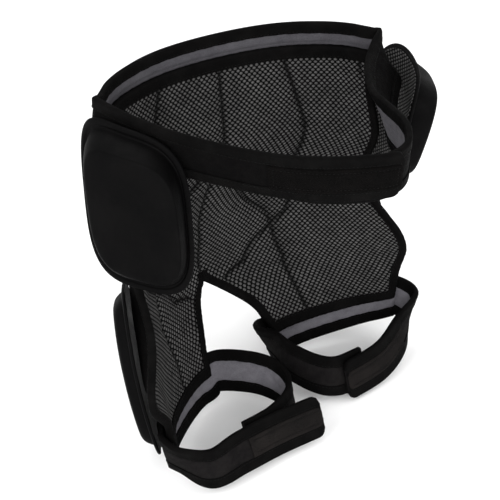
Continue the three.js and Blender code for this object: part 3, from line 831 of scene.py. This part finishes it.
def finish_piece(piece, slot, *nodes):
    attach(piece, "root")
    if nodes:
        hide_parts(*nodes)
    return piece


# Stitches: a run of thread laid by nodes along lines on the cloth


STITCH_INPUTS = (
    ("Stitch length", "Float", STITCH * MM),
    ("Stitch pitch", "Float", STITCH_PITCH * MM),
    ("Thread radius", "Float", THREAD * MM),
    ("Thread", "Material", THREAD_BLACK),
)


def stitch_tree():
    """Nodes that lay short stitches along a mesh of lines, each turned to the cloth it is on."""
    tree = bpy.data.node_groups.new("sewn line", "GeometryNodeTree")
    tree.interface.new_socket("Lines", in_out="INPUT", socket_type="NodeSocketGeometry")
    made = {}
    for label, kind, value in STITCH_INPUTS:
        socket = tree.interface.new_socket(label, in_out="INPUT", socket_type="NodeSocket" + kind)
        socket.default_value = value
        made[label] = socket.identifier
    tree.interface.new_socket("Stitches", in_out="OUTPUT", socket_type="NodeSocketGeometry")
    given = tree.nodes.new("NodeGroupInput").outputs
    result = tree.nodes.new("NodeGroupOutput").inputs
    pitch = given["Stitch pitch"]
    thick = given["Thread radius"]
    line = first_out(tree, "GeometryNodeMeshToCurve", Mesh=given["Lines"])
    spaced = first_out(tree, "GeometryNodeResampleCurve", set_mode="LENGTH", Curve=line, Length=pitch)
    tangent = first_out(tree, "GeometryNodeInputTangent")
    named = add_node(tree, "GeometryNodeInputNamedAttribute", set_data_type="FLOAT_VECTOR", Name="facing")
    facing = named.outputs["Attribute"]
    turn = "FunctionNodeAlignRotationToVector"
    along = first_out(tree, turn, set_axis="X", Vector=tangent)
    turned = first_out(tree, turn, set_axis="Z", set_pivot_axis="X", Rotation=along, Vector=facing)
    half = math_node(tree, "MULTIPLY", given["Stitch length"], 0.5)
    size = first_out(tree, "ShaderNodeCombineXYZ", X=half, Y=thick, Z=thick)
    bead = first_out(tree, "GeometryNodeMeshUVSphere", Segments=6, Rings=5, Radius=1.0)
    stitch = first_out(tree, "GeometryNodeTransform", Geometry=bead, Scale=size)
    laid = first_out(tree, "GeometryNodeInstanceOnPoints", Points=spaced, Instance=stitch, Rotation=turned)
    real = first_out(tree, "GeometryNodeRealizeInstances", Geometry=laid)
    soft = first_out(tree, "GeometryNodeSetShadeSmooth", Geometry=real)
    dressed = first_out(tree, "GeometryNodeSetMaterial", Geometry=soft, Material=given["Thread"])
    tree.links.new(dressed, result["Stitches"])
    return tree, made


SEWN_LINE, SEWN_LINE_INPUTS = stitch_tree()


def sew(name, lines):
    """One piece of stitches along lines given as (points, facing) in millimetres."""
    points = []
    facing = []
    edges = []
    for line, normals in lines:
        start = len(points)
        points.extend((np.asarray(line) * MM).tolist())
        facing.extend(np.broadcast_to(normals, np.shape(line)).tolist())
        edges.extend((start + i, start + i + 1) for i in range(len(line) - 1))
    mesh = bpy.data.meshes.new(name)
    mesh.from_pydata(points, edges, [])
    layer = mesh.attributes.new("facing", "FLOAT_VECTOR", "POINT")
    layer.data.foreach_set("vector", np.asarray(facing, np.float32).ravel())
    piece = bpy.data.objects.new(name, mesh)
    bpy.context.collection.objects.link(piece)
    sewing = piece.modifiers.new("sewing", "NODES")
    sewing.node_group = SEWN_LINE
    for label, kind, value in STITCH_INPUTS:
        sewing[SEWN_LINE_INPUTS[label]] = value
    settle(piece)
    return finish_piece(piece, "tape")


# Seat panel


def panel_grid():
    """The panel's grid on both sides: points, normals, own map and quads with their places."""
    top = down_at([-line for line in TAPE_LINES])
    over_notch = down_at([NOTCH_Z + line for line in SIDE_LINES[:0:-1]])
    hem = down_at([HEM_Z + HEM_LINES * line for line in TAPE_LINES[::-1]])
    upper = np.linspace(top[-1], over_notch[0], UPPER_ROWS)[1:-1]
    lower = np.linspace(NOTCH_ROW, hem[0], LOWER_ROWS)[1:-1]
    down = np.concatenate([top, upper, over_notch, [NOTCH_ROW], lower, hem])
    notch = len(top) + len(upper) + len(over_notch)
    fine = np.linspace(0, 1, WIDTH_STEPS)
    width = lengths(panel_point(1, fine[None, :], down[:, None]), 1)[:, -1:]
    lines = np.array(SIDE_LINES)[None, :] / width
    share = np.linspace(0, 1, MIDDLE_COLUMNS)[None, 1:-1]
    inner = lines * NOTCH_SLANT
    outer = 1 - lines[:, ::-1]
    middle = inner[:, -1:] + (outer[:, :1] - inner[:, -1:]) * share
    across = np.concatenate([inner, middle, outer], 1)
    rows, columns = across.shape
    number = {1: np.arange(rows * columns).reshape(rows, columns)}
    number[-1] = number[1] + rows * columns
    number[-1][: notch + 1, 0] = number[1][: notch + 1, 0]
    points = []
    normals = []
    maps = []
    for side in (1, -1):
        point, normal = panel_frame(side, across, down[:, None])
        notched = np.abs(panel_column("inner_x", down)) * (down > NOTCH_ROW)
        over = lengths(point, 1) + notched[:, None]
        fall = np.broadcast_to(lengths(point[:, columns // 2])[:, None], over.shape)
        maps.append(np.stack([side * over, -fall], -1).reshape(-1, 2))
        points.append(point.reshape(-1, 3))
        normals.append(normal.reshape(-1, 3))
    left, right = (number[side].ravel()[grid_faces(rows, columns)] for side in (1, -1))
    places = np.stack(np.mgrid[: rows - 1, : columns - 1], -1).reshape(-1, 2)
    return {
        "points": np.concatenate(points),
        "normals": np.concatenate(normals),
        "maps": np.concatenate(maps),
        "quads": np.concatenate([left, right[:, ::-1]]),
        "places": np.concatenate([places, places]),
        "number": number,
        "down": np.tile(np.repeat(down, columns), 2),
        "notch": notch,
        "rows": rows,
        "columns": columns,
    }


def nearest(points, targets):
    """How far each point is from the nearest target."""
    tree = kdtree.KDTree(len(targets))
    for i, target in enumerate(targets):
        tree.insert(target, i)
    tree.balance()
    return np.array([tree.find(point)[2] for point in points])


def seam_path(seam, side):
    """Places along a quilting seam."""
    place = np.linspace(0, len(seam["down"]) - 1, SEAM_STEPS * len(seam["down"]))
    across = np.maximum(column(seam, "across", place), 0)
    return side, across, np.clip(column(seam, "down", place), 0, HEM_ROW)


def quilting_seams():
    paths = [seam_path(CENTRE_SEAM, 1)]
    for side in (1, -1):
        paths.extend(seam_path(seam, side) for seam in (SIDE_SEAM, LOBE_SEAM, END_SEAM))
    return paths


def panel_edge(grid):
    """The numbers along the panel's edge in order, and the numbers of the tape's inner line."""
    last = grid["rows"] - 1
    far = grid["columns"] - 1
    notch = grid["notch"]
    reach = len(TAPE_LINES) - 1
    left = [(0, c) for c in range(far)]
    left += [(r, far) for r in range(last)]
    left += [(last, c) for c in range(far, 0, -1)]
    left += [(r, 0) for r in range(last, notch, -1)]
    loop = [(1, r, c) for r, c in left + [(notch, 0)]]
    loop += [(-1, r, c) for r, c in left[:0:-1]]
    edge = []
    inner = []
    for side, r, c in loop[-far:] + loop[:-far]:
        number = grid["number"][side]
        edge.append(number[r, c])
        in_r = min(max(r, reach), last - reach)
        in_c = min(max(c, reach if r > notch else 0), far - reach)
        if (r, c) == (notch, 0):
            in_r = notch - reach
        inner.append(number[in_r, in_c])
    return np.array(edge), np.array(inner)


def pressed(z, down):
    """How far the panel lies out against the belt at its top and the leg straps at its hem."""
    top = TOP_PRESS * ease((z - TOP_PRESS_Z) / TOP_PRESS_RISE)
    return top + HEM_PRESS * ease((down - HEM_PRESS_ROW) / HEM_PRESS_ROWS)


def panel_faces(grid):
    """How far the panel's outside and mesh side stand off its middle surface, and how near each
    point is to a quilting seam."""
    points = grid["points"]
    down = grid["down"]
    to_seam = nearest(points, np.concatenate([panel_point(*path) for path in quilting_seams()]))
    to_edge = nearest(points, points[panel_edge(grid)[0]])
    foam = np.clip(panel_column("puff", down), 0, 1)
    full = np.sin(np.clip(to_seam / QUILT_SPREAD, 0, 1) * math.pi / 2) ** PUFF_POWER
    puff = full * ease((to_edge - TAPE_REACH) / PUFF_RISE) * foam
    clear = ease((to_edge - SEAM_START) / SEAM_RISE)
    dent = np.exp(-((to_seam / QUILT_DENT_WIDTH) ** 2)) * clear
    pulled = ripple(points[:, 2] + PULL_SLANT * points[:, 0], SEAM_WAVES)
    pulled = pulled * np.exp(-(((to_seam - PULL_OFF) / PULL_WIDTH) ** 2)) * foam
    press = pressed(points[:, 2], down)
    outside = PANEL_THICK / 2 + OUTER_PUFF * puff - QUILT_DENT * dent + pulled + press
    inside = -PANEL_THICK / 2 - INNER_PUFF * puff + MESH_DENT * dent - pulled + press
    return outside, inside, np.exp(-((to_seam / SEWN_SHADE_WIDTH) ** 2)) * clear


def seat_panel():
    """The quilted panel with its mesh, its tape and their stitches."""
    grid = panel_grid()
    outside, inside, sewn = panel_faces(grid)
    points = grid["points"]
    normals = grid["normals"]

    def layer(offset):
        return points + normals * np.broadcast_to(offset, len(points))[:, None]

    wall, faces = closed_wall(layer(outside), layer(inside), grid["quads"])
    maps = np.concatenate([grid["maps"]] * 2)
    seams = np.concatenate([sewn, sewn])
    panel = make_piece("back_panel", wall, faces, maps, NEOPRENE, sewn=seams)
    finish_piece(panel, "neoprene", "back_panel")

    r, c = grid["places"].T
    reach = len(TAPE_LINES) - 1
    notch = grid["notch"]
    last_r = grid["rows"] - 1
    last_c = grid["columns"] - 1
    tuck = reach - 1
    netted = (r >= tuck) & (r < last_r - tuck) & (c < last_c - tuck)
    netted &= (c >= tuck) | (r < notch - tuck)
    back = inside - MESH_GAP
    net, faces = closed_wall(layer(back), layer(back - LINING_THICK), grid["quads"][netted])
    mesh = make_piece("mesh_lining", net, faces, maps, MESH, sewn=seams)
    finish_piece(mesh, "mesh", "mesh_lining")

    taped = (r < reach) | (r >= last_r - reach) | (c >= last_c - reach)
    taped |= (c < reach) & (r >= notch - reach)
    binding = panel_binding(grid, layer, outside, inside, grid["quads"][taped])
    finish_piece(binding, "tape", "panel_binding")
    edge, inner = panel_edge(grid)
    lines = []
    for offset, facing in ((outside + PANEL_STITCH_OUT, 1), (inside - PANEL_STITCH_IN, -1)):
        raised = layer(offset)
        line = raised[edge] + PANEL_TAPE_SEWN * (raised[inner] - raised[edge])
        lines.append((np.concatenate([line, line[:1]]), facing * normals[np.append(edge, edge[0])]))
    out_depth = PANEL_THICK / 2 - QUILT_DENT + SEAM_STITCH_OUT
    net_depth = PANEL_THICK / 2 - MESH_DENT + LINING_THICK + SEAM_STITCH_IN
    for path in quilting_seams():
        place, normal = panel_frame(*path)
        press = pressed(place[:, 2], path[2])[:, None]
        free = (path[2] > SEAM_ROWS[0]) & (path[2] < SEAM_ROWS[1])
        lines.append(((place + normal * (out_depth + press))[free], normal[free]))
        lines.append(((place - normal * (net_depth - press))[free], -normal[free]))
    sew("panel_stitches", lines)


def panel_binding(grid, layer, outside, inside, quads):
    """Tape folded round the panel's whole edge: two flat legs and a rounded fold."""
    edge, inner = panel_edge(grid)
    shift = len(outside)
    pucker = ripple(grid["points"][:, 2] + grid["maps"][:, 0], PANEL_TAPE_WAVES)
    front = layer(outside + PANEL_TAPE_OUT + pucker)
    back = layer(inside - PANEL_TAPE_IN - pucker)
    count = len(edge)
    middle = (front[edge] + back[edge]) / 2
    half = (front[edge] - back[edge]) / 2
    tangent = np.roll(middle, -1, 0) - np.roll(middle, 1, 0)
    away = unit(np.cross(tangent, half))
    inward = grid["points"][inner] - grid["points"][edge]
    away = away * -np.sign(np.sum(away * inward, -1, keepdims=True))
    for _ in range(3):
        away = unit(away + np.roll(away, 1, 0) + np.roll(away, -1, 0))
    high = np.linalg.norm(half, axis=-1, keepdims=True)
    turns = np.linspace(0, math.pi, PANEL_FOLD_STEPS)[1:-1]
    round_out = away * high * PANEL_TAPE_FOLD
    arcs = [middle + half * math.cos(turn) + round_out * math.sin(turn) for turn in turns]
    points = np.concatenate([front, back, *arcs])
    rings = [edge]
    rings.extend(2 * shift + i * count + np.arange(count) for i in range(len(arcs)))
    rings.append(edge + shift)
    faces = [quads, quads[:, ::-1] + shift]
    steps = np.stack([edge, np.roll(edge, -1)], -1)
    known = {(q[i], q[(i + 1) % 4]) for q in quads.tolist() for i in range(4)}
    forward = tuple(steps[0].tolist()) in known
    for here, there in zip(rings, rings[1:]):
        strip = np.stack([here, there, np.roll(there, -1), np.roll(here, -1)], -1)
        faces.append(strip if forward else strip[:, ::-1])
    maps = np.concatenate([grid["maps"], grid["maps"], *[grid["maps"][edge]] * len(arcs)])
    return make_piece("panel_binding", points, np.concatenate(faces), maps, TAPE, TAPE_THICK)


# Straps


def seam_rows(places, edge, far, seam_out, rise):
    """Rows of a strap where it is sewn round the panel's top edge or hem."""
    side, across = np.array(places, float).T
    near, normal = panel_frame(side, across, np.full(len(places), float(edge)))
    under, under_normal = panel_frame(side, across, np.full(len(places), float(far)))
    near = near + normal * seam_out
    under = under + under_normal * seam_out
    upward = unit(near - under)
    upward = upward * np.where(upward[:, 2:] < 0, -1, 1)
    middle = near + upward * rise
    flat = unit(normal * np.array([1, 1, 0]))
    lean = np.sum(upward * flat, -1) / upward[:, 2]
    return {"x": middle[:, 0], "y": middle[:, 1], "z": middle[:, 2], "lean": lean}


def strap_run(rows):
    """Sections along a strap that runs counter-clockwise: inside face, up its width and out."""
    fine = np.linspace(0, len(rows["x"]) - 1, RUN_STEPS * len(rows["x"]))
    line = np.stack([column(rows, name, fine) for name in "xyz"], -1)
    run = lengths(line)
    count = int(run[-1] / STATION) + 1
    distance = np.linspace(0, run[-1], count)
    place = np.interp(distance, run, fine)
    point = np.stack([column(rows, name, place) for name in "xyz"], -1)
    along = unit(np.gradient(point, axis=0))
    level = unit(np.cross(along, UP))
    upward = unit(UP + level * column(rows, "lean", place)[:, None])
    out = unit(np.cross(along, upward))
    return {"point": point, "up": upward, "out": out, "distance": distance, "long": run[-1]}


def strap_surface(run, rise, depth):
    """Points at heights up a strap's width and depths out of its inside face."""
    rise = np.broadcast_to(rise, np.broadcast_shapes(np.shape(rise), np.shape(depth)))
    point = run["point"][:, None] + run["up"][:, None] * rise[..., None]
    return point + run["out"][:, None] * np.broadcast_to(depth, rise.shape)[..., None]


def from_end(run, free_end):
    """How far each section of a strap is from its free end."""
    if free_end == "start":
        return run["distance"]
    return run["long"] - run["distance"]


def end_outline(run, half, free_end):
    """The strap's half width at each section, rounded at its free end."""
    into = np.clip(STRAP_CORNER - from_end(run, free_end), 0, STRAP_CORNER)
    return half - (STRAP_CORNER - np.sqrt(STRAP_CORNER**2 - into**2))


def crease_depth(run, rise, creases):
    """How far a lining is dented along its creases."""
    depth = np.zeros((len(run["distance"]), len(rise)))
    for i in range(len(creases["along"])):
        middle = creases["along"][i] * run["long"] + creases["slant"][i] * (rise - creases["rise"][i])
        off = (run["distance"][:, None] - middle[None, :]) / np.hypot(1, creases["slant"][i])
        fade = np.exp(-(((rise - creases["rise"][i]) / CREASE_SPREAD) ** 2))
        depth += creases["depth"][i] * fade[None, :] * np.exp(-((off / creases["width"][i]) ** 2))
    return depth


def strap_slab(name, slot, run, rise, drawn, depths, cloth):
    """A piece between two depths of a strap. rise is the height in the cloth's own map, and drawn
    is the height on the strap, which is narrower at its rounded end."""
    front, back = (strap_surface(run, drawn, depth) for depth in depths)
    faces = grid_faces(*front.shape[:2])
    points, faces = closed_wall(front.reshape(-1, 3), back.reshape(-1, 3), faces)
    places = np.stack(np.broadcast_arrays(run["distance"][:, None], rise), -1).reshape(-1, 2)
    piece = make_piece(name, points, faces, np.concatenate([places] * 2), cloth)
    return finish_piece(piece, slot, name)


def strap_lining(name, run, narrow, lined, free_end, creases, fold, cloth):
    """The lining inside a strap, which ends short of the free end."""
    kept = from_end(run, free_end) > LINING_SHORT
    held = {key: value[kept] if np.ndim(value) else value for key, value in run.items()}
    rise = np.linspace(-lined - LINING_TUCK, lined + LINING_TUCK, LINING_COLUMNS)
    dent = crease_depth(held, rise, creases)
    if fold is not None:
        dent = dent + LINING_FOLD * np.exp(-(((rise - fold) / LINING_FOLD_WIDTH) ** 2))[None, :]
    slack = np.clip(1 - (rise / lined) ** 2, 0, 1)[None, :]
    loose = ripple(held["distance"][:, None] + LINING_SLANT * rise[None, :], LINING_WAVES) * slack
    skin = -LINING_THICK - LINING_OFF - LINING_SWELL * slack + np.minimum(dent, CREASE_MOST) + loose
    depths = (np.minimum(skin, -LINING_LEAST), np.full(skin.shape, -LINING_BACK))
    rise = rise[None, :]
    return strap_slab(name, "lining", held, rise, rise * narrow[kept], depths, cloth)


def strap(names, rows, width, creases, free_end, tab_length, cloths, fold=None):
    """A strap with its lining, two bindings, closure patch and stitches. cloths are those of the
    body, patch and lining, and fold is the height of a crease along the whole lining."""
    run = strap_run(rows)
    half = width / 2 - STRAP_EDGE
    outline = end_outline(run, half, free_end)[:, None]
    narrow = outline / half
    lined = half - TAPE_REACH
    share = np.linspace(-1, 1, STRAP_COLUMNS)[None, :]
    crown = STRAP_CROWN * np.clip(1 - (share * half / (lined + CROWN_TUCK)) ** 2, 0, 1)
    soft = ripple(run["distance"][:, None] + STRAP_SLANT * share, STRAP_WAVES)
    depths = (STRAP_THICK + crown + soft * (crown > 0), 0 * share)
    strap_slab(names["body"], "neoprene", run, share * half, share * outline, depths, cloths[0])
    lining = strap_lining(names["lining"], run, narrow, lined, free_end, creases, fold, cloths[2])
    for name, sign in ((names["binding_top"], 1), (names["binding_bottom"], -1)):
        piece = strap_binding(name, run, outline, sign)
        finish_piece(piece, "tape", name)
    lines = []
    for sign in (1, -1):
        edge = sign * (outline - TAPE_REACH + TAPE_SEWN)
        for depth, facing in ((STRAP_THICK + TAPE_STITCH_OUT, 1), (-TAPE_STITCH_IN, -1)):
            lines.append((strap_surface(run, edge, np.array([[depth]]))[:, 0], facing * run["out"]))
    lines.append(closure_patch(names["tab"], run, narrow, lined, free_end, tab_length, cloths[1]))
    sew(names["stitches"], lines)


def strap_binding(name, run, outline, sign):
    """Tape folded over one edge of a strap."""
    out_depth = STRAP_THICK + TAPE_OUT
    in_depth = -LINING_THICK - TAPE_IN
    middle = (out_depth + in_depth) / 2
    high = (out_depth - in_depth) / 2
    turns = np.linspace(math.pi / 2, -math.pi / 2, TAPE_FOLD_STEPS)
    flat = len(TAPE_RUNS)
    inward = np.array([*TAPE_RUNS, *(-TAPE_FOLD * np.cos(turns)), *TAPE_RUNS[::-1]])[None, :]
    depth = [out_depth] * flat + [middle + high * math.sin(turn) for turn in turns] + [in_depth] * flat
    depth = np.array(depth)[None, :]
    distance = run["distance"][:, None]
    pucker = ripple(distance + TAPE_SHIFT * sign, TAPE_WAVES)
    away = np.sign(depth - middle) * np.clip(inward / TAPE_REACH, 0, 1)
    wave = ripple(distance, TAPE_EDGE_WAVES) * (inward > TAPE_FLAT)
    points = strap_surface(run, sign * (outline - inward + wave), depth + pucker * away)
    faces = grid_faces(*points.shape[:2])
    if sign > 0:
        faces = faces[:, ::-1]
    lay = np.concatenate([[0], np.cumsum(np.hypot(np.diff(inward[0]), np.diff(depth[0])))])
    places = np.stack(np.broadcast_arrays(distance, lay[None, :]), -1).reshape(-1, 2)
    return make_piece(name, points.reshape(-1, 3), faces, places, TAPE, TAPE_THICK)


def closure_patch(name, run, narrow, lined, free_end, length, cloth):
    """The grip patch on a strap's free end, with a sewn border. Returns its sewn line."""
    part = from_end(run, free_end) <= length
    patch = {key: value[part] for key, value in run.items() if key != "long"}
    left = from_end(run, free_end)[part][:, None]
    rise = np.linspace(-lined, lined, TAB_COLUMNS)[None, :]
    inset = np.minimum(np.minimum(lined - np.abs(rise), left), length - left)
    top = TAB_THICK * np.sqrt(ease((inset + TAB_EDGE) / TAB_ROUND))
    top = top - TAB_DENT * np.exp(-(((inset - TAB_BORDER) / TAB_DENT_WIDTH) ** 2))
    base = STRAP_THICK + STRAP_CROWN + TAB_OFF
    wave = ripple(patch["distance"][:, None] + TAB_SLANT * rise, TAB_WAVES)
    depths = (base + top + wave, np.full(top.shape, STRAP_THICK + TAB_BACK))
    strap_slab(name, "grip", patch, rise, rise * narrow[part], depths, cloth)
    order = np.argsort(left[:, 0])
    kept = order[(left[order, 0] > TAB_BORDER) & (left[order, 0] < length - TAB_BORDER)]
    edge = (lined - TAB_BORDER) * narrow[part]
    depth = np.array([[base + TAB_THICK - TAB_STITCH_SUNK]])
    sides = [strap_surface(patch, sign * edge, depth)[kept, 0] for sign in (1, -1)]
    out = patch["out"][kept]
    line = np.concatenate([sides[0], sides[1][::-1], sides[0][:1]])
    return line, np.concatenate([out, out[::-1], out[:1]])


def strap_names(kind, label=""):
    """The names of a strap's pieces."""
    tail = "_" + label if label else ""
    names = {part: f"{kind}_{part}{tail}" for part in STRAP_PARTS}
    names["body"] = "waist_belt" if kind == "belt" else "leg_strap" + tail
    return names


def belt():
    places = [(1, across) for across in SEWN_ACROSS[::-1]]
    places.extend((-1, across) for across in SEWN_ACROSS[1:])
    seam = seam_rows(places, 0, UNDER_BELT, BELT_SEAM_OUT, 0)
    rows = join(BELT_LEFT, seam, BELT_RIGHT)
    # The belt's lining is made darker with painted shade.
    cloths = (NEOPRENE, GRIP, PAINTED_SHADE_LINING)
    names = strap_names("belt")
    strap(names, rows, BELT_WIDTH, BELT_CREASES, "end", BELT_TAB_LENGTH, cloths, BELT_FOLD)


def leg_strap(label, side, inner_rows, front_rows):
    places = [(side, across) for across in SEWN_ACROSS]
    rise = HEM_LAP - LEG_STRAP_WIDTH / 2
    seam = seam_rows(places, HEM_ROW, UNDER_LEG_STRAP, LEG_SEAM_OUT, rise)
    rows = join(inner_rows, seam, front_rows)
    free_end = "end"
    if side > 0:
        rows = backwards(rows)
        free_end = "start"
    names = strap_names("leg", label)
    # The leg straps' neoprene and grip patches are made paler with painted light.
    cloths = (PAINTED_LIGHT_NEOPRENE, PAINTED_LIGHT_GRIP, LINING)
    strap(names, rows, LEG_STRAP_WIDTH, LEG_CREASES, free_end, LEG_TAB_LENGTH, cloths)


# Pads


def bent_base(centre, out, upward, bend, half_height, bow=0, taper=0, skew=0):
    """The base of a pad: a sheet bent round an upright axis and bowed along its height."""
    along = np.cross(upward, out)

    def base(width, height):
        share = height / half_height
        turn = (width * (1 + taper * share) - skew * height) / bend
        normal = np.cos(turn)[..., None] * out + np.sin(turn)[..., None] * along
        point = centre + (bow * (1 - share**2) - bend)[..., None] * out
        point = point + normal * bend + height[..., None] * upward
        normal = unit(normal + (2 * bow * share / half_height)[..., None] * upward)
        return point, normal

    return base


def pad_outline():
    """The pads' rounded oblong, as shares of their half width and height."""
    angle = (np.arange(PAD_SEGMENTS) + 0.5) / PAD_SEGMENTS * 2 * math.pi
    power = 2 / PAD_SQUARENESS
    across = np.sign(np.cos(angle)) * np.abs(np.cos(angle)) ** power
    upright = np.sign(np.sin(angle)) * np.abs(np.sin(angle)) ** power
    return across, upright


def rings(base, half_width, half_height, profile):
    """Points, faces and own map of a closed cushion of rings over a base."""
    across, upright = pad_outline()
    wide, tall, rises, shifts = (profile[name] for name in ("wide", "tall", "rise", "shift"))
    width = wide[1:-1, None] * half_width * across[None, :] + shifts[1:-1, None]
    height = tall[1:-1, None] * half_height * upright[None, :]
    point, normal = base(width, height)
    body = (point + normal * rises[1:-1, None, None]).reshape(-1, 3)
    middle, out = base(shifts[[0, -1]], np.zeros(2))
    points = np.concatenate([body, middle + out * rises[[0, -1], None]])
    count = len(wide) - 2
    ring = np.arange(count * PAD_SEGMENTS).reshape(count, PAD_SEGMENTS)
    ahead = np.roll(ring, -1, 1)
    quads = np.stack([ring[:-1], ahead[:-1], ahead[1:], ring[1:]], -1).reshape(-1, 4).tolist()
    first = len(body)
    quads.extend([first, int(b), int(a)] for a, b in zip(ring[0], ahead[0]))
    quads.extend([first + 1, int(a), int(b)] for a, b in zip(ring[-1], ahead[-1]))
    poles = np.stack([shifts[[0, -1]], np.zeros(2)], -1)
    maps = np.concatenate([np.stack([width, height], -1).reshape(-1, 2), poles])
    return points, quads, maps


def moulded_pad(name, base, half_width, half_height, crown, front=1):
    """A pad from its rim and crown; front is 1 where the wearer's front is on its right."""
    profile = join(PAD_RIM, crown)
    last = len(profile["wide"]) - 1
    fine = np.linspace(0, last, PAD_STEPS * last + 1)
    smooth = {key: column(profile, key, fine) for key in profile}
    smooth["shift"] = smooth["shift"] * front
    points, faces, maps = rings(base, half_width, half_height, smooth)
    pad = make_piece(name, points, faces, maps, MOULDED, crisp=80)
    finish_piece(pad, "moulded", name)


def hip_pad(label, row):
    x, y, z, facing, flare, skew = (values[row] for values in HIP_PLACES.values())
    heading = math.radians(facing)
    tip = math.radians(flare)
    level = np.array([math.cos(heading), math.sin(heading), 0])
    out = level * math.cos(tip) + UP * math.sin(tip)
    upward = np.cross(out, np.cross(UP, level))
    centre = np.array([x, y, z])
    base = bent_base(centre, out, upward, HIP_BEND, HIP_HALF_HEIGHT, taper=HIP_TAPER, skew=skew)
    front = 1 if label == "right" else -1
    moulded_pad("hip_pad_" + label, base, HIP_HALF_WIDTH, HIP_HALF_HEIGHT, HIP_CROWN, front)
    shares = np.linspace(0, HIP_LINING_SHARE, HIP_LINING_RINGS)
    shares = np.concatenate([shares, shares[::-1]])
    rises = np.repeat([-HIP_LINING_GAP, -HIP_LINING_GAP - LINING_THICK], HIP_LINING_RINGS)
    flat = {"wide": shares, "tall": shares, "rise": rises, "shift": 0 * shares}
    points, faces, maps = rings(base, HIP_HALF_WIDTH, HIP_HALF_HEIGHT, flat)
    name = "hip_lining_" + label
    lining = make_piece(name, points, faces, maps, MESH)
    finish_piece(lining, "mesh", name)


def thigh_pad(label, side):
    ends = []
    for down, off in ((down_at(THIGH_TOP), THIGH_TOP_OFF), (HEM_ROW, THIGH_HEM_OFF)):
        point, normal = panel_frame(side, THIGH_ACROSS, down)
        ends.append(point + normal * off)
    top, bottom = ends
    upward = unit(top - bottom)
    out = panel_frame(side, THIGH_ACROSS, down_at(THIGH_FACING))[1]
    out = unit(out - upward * np.dot(out, upward))
    centre = bottom + upward * (THIGH_HALF_HEIGHT - THIGH_DROP)
    base = bent_base(centre, out, upward, THIGH_BEND, THIGH_HALF_HEIGHT, bow=THIGH_BOW)
    moulded_pad("thigh_pad_" + label, base, THIGH_HALF_WIDTH, THIGH_HALF_HEIGHT, THIGH_CROWN)


# Studio


CAMERA_TURN = -37.8  # degrees round the object from its front
CAMERA_RISE = 34.9
CAMERA_OFF = 1600
CAMERA_TARGET = (-68.8, -46.7, -91)
CAMERA_LENS = 126
CAMERA_SENSOR = 36
LIGHTS = table(
    "x y z size power",
    (-1.0, -1.6, 0.4, 1.0, 26),
    (-1.6, -0.2, 0.9, 1.0, 16),
    (1.4, -1.0, 0.9, 1.2, 10),
    (0.3, 1.2, 1.6, 1.2, 12),
)
LIGHT_TARGET = (0, 0, -0.15)
FLOOR_HALF = 6
FLOOR_GAP = 0.002  # below the part's lowest point
FLOOR_DARK = (0.9, 0.9, 0.9, 1)
FLOOR_PALE = (0.93, 0.93, 0.93, 1)
FLOOR_ROUGHNESS = 0.9


def aim(thing, target):
    thing.rotation_euler = (Vector(target) - thing.location).to_track_quat("-Z", "Y").to_euler()


def studio():
    turn = math.radians(CAMERA_TURN)
    rise = math.radians(CAMERA_RISE)
    target = Vector(CAMERA_TARGET) * MM
    way = Vector((math.sin(turn) * math.cos(rise), -math.cos(turn) * math.cos(rise), math.sin(rise)))
    lens = bpy.data.cameras.new("photo camera")
    lens.lens = CAMERA_LENS
    lens.sensor_width = CAMERA_SENSOR
    camera = bpy.data.objects.new("photo camera", lens)
    camera.location = target + way * CAMERA_OFF * MM
    bpy.context.collection.objects.link(camera)
    aim(camera, target)
    bpy.context.scene.camera = camera

    world = bpy.data.worlds.new("studio")
    world.use_nodes = True
    world.node_tree.nodes["Background"].inputs["Color"].default_value = (1, 1, 1, 1)
    world.node_tree.nodes["Background"].inputs["Strength"].default_value = 1.0
    bpy.context.scene.world = world
    bpy.context.scene.view_settings.view_transform = "Standard"
    for i, (x, y, z, size, power) in enumerate(zip(*LIGHTS.values())):
        lamp = bpy.data.lights.new(f"soft box {i + 1}", "AREA")
        lamp.size = size
        lamp.energy = power
        box = bpy.data.objects.new(lamp.name, lamp)
        box.location = (x, y, z)
        bpy.context.collection.objects.link(box)
        aim(box, LIGHT_TARGET)


def floor():
    material, tree, shader, place = new_material("pale floor", 0.1)
    shade = noise(tree, place["Object"], scale=3.0, detail=2.0)
    colour = mix_colours(tree, shade, FLOOR_DARK, FLOOR_PALE)
    tree.links.new(colour, shader.inputs["Base Color"])
    shader.inputs["Roughness"].default_value = FLOOR_ROUGHNESS
    low = min(corner[2] for corner in cad_box) - FLOOR_GAP
    mesh = bpy.data.meshes.new("floor")
    signs = ((-1, -1), (1, -1), (1, 1), (-1, 1))
    corners = [(x * FLOOR_HALF, y * FLOOR_HALF, low) for x, y in signs]
    mesh.from_pydata(corners, [], [(0, 1, 2, 3)])
    mesh.materials.append(material)
    plane = bpy.data.objects.new("floor", mesh)
    bpy.context.collection.objects.link(plane)


studio()
floor()
seat_panel()
belt()
leg_strap("right", -1, RIGHT_LEG_INNER, RIGHT_LEG_FRONT)
leg_strap("left", 1, LEFT_LEG_INNER, LEFT_LEG_FRONT)
hip_pad("right", 0)
hip_pad("left", 1)
thigh_pad("right", -1)
thigh_pad("left", 1)
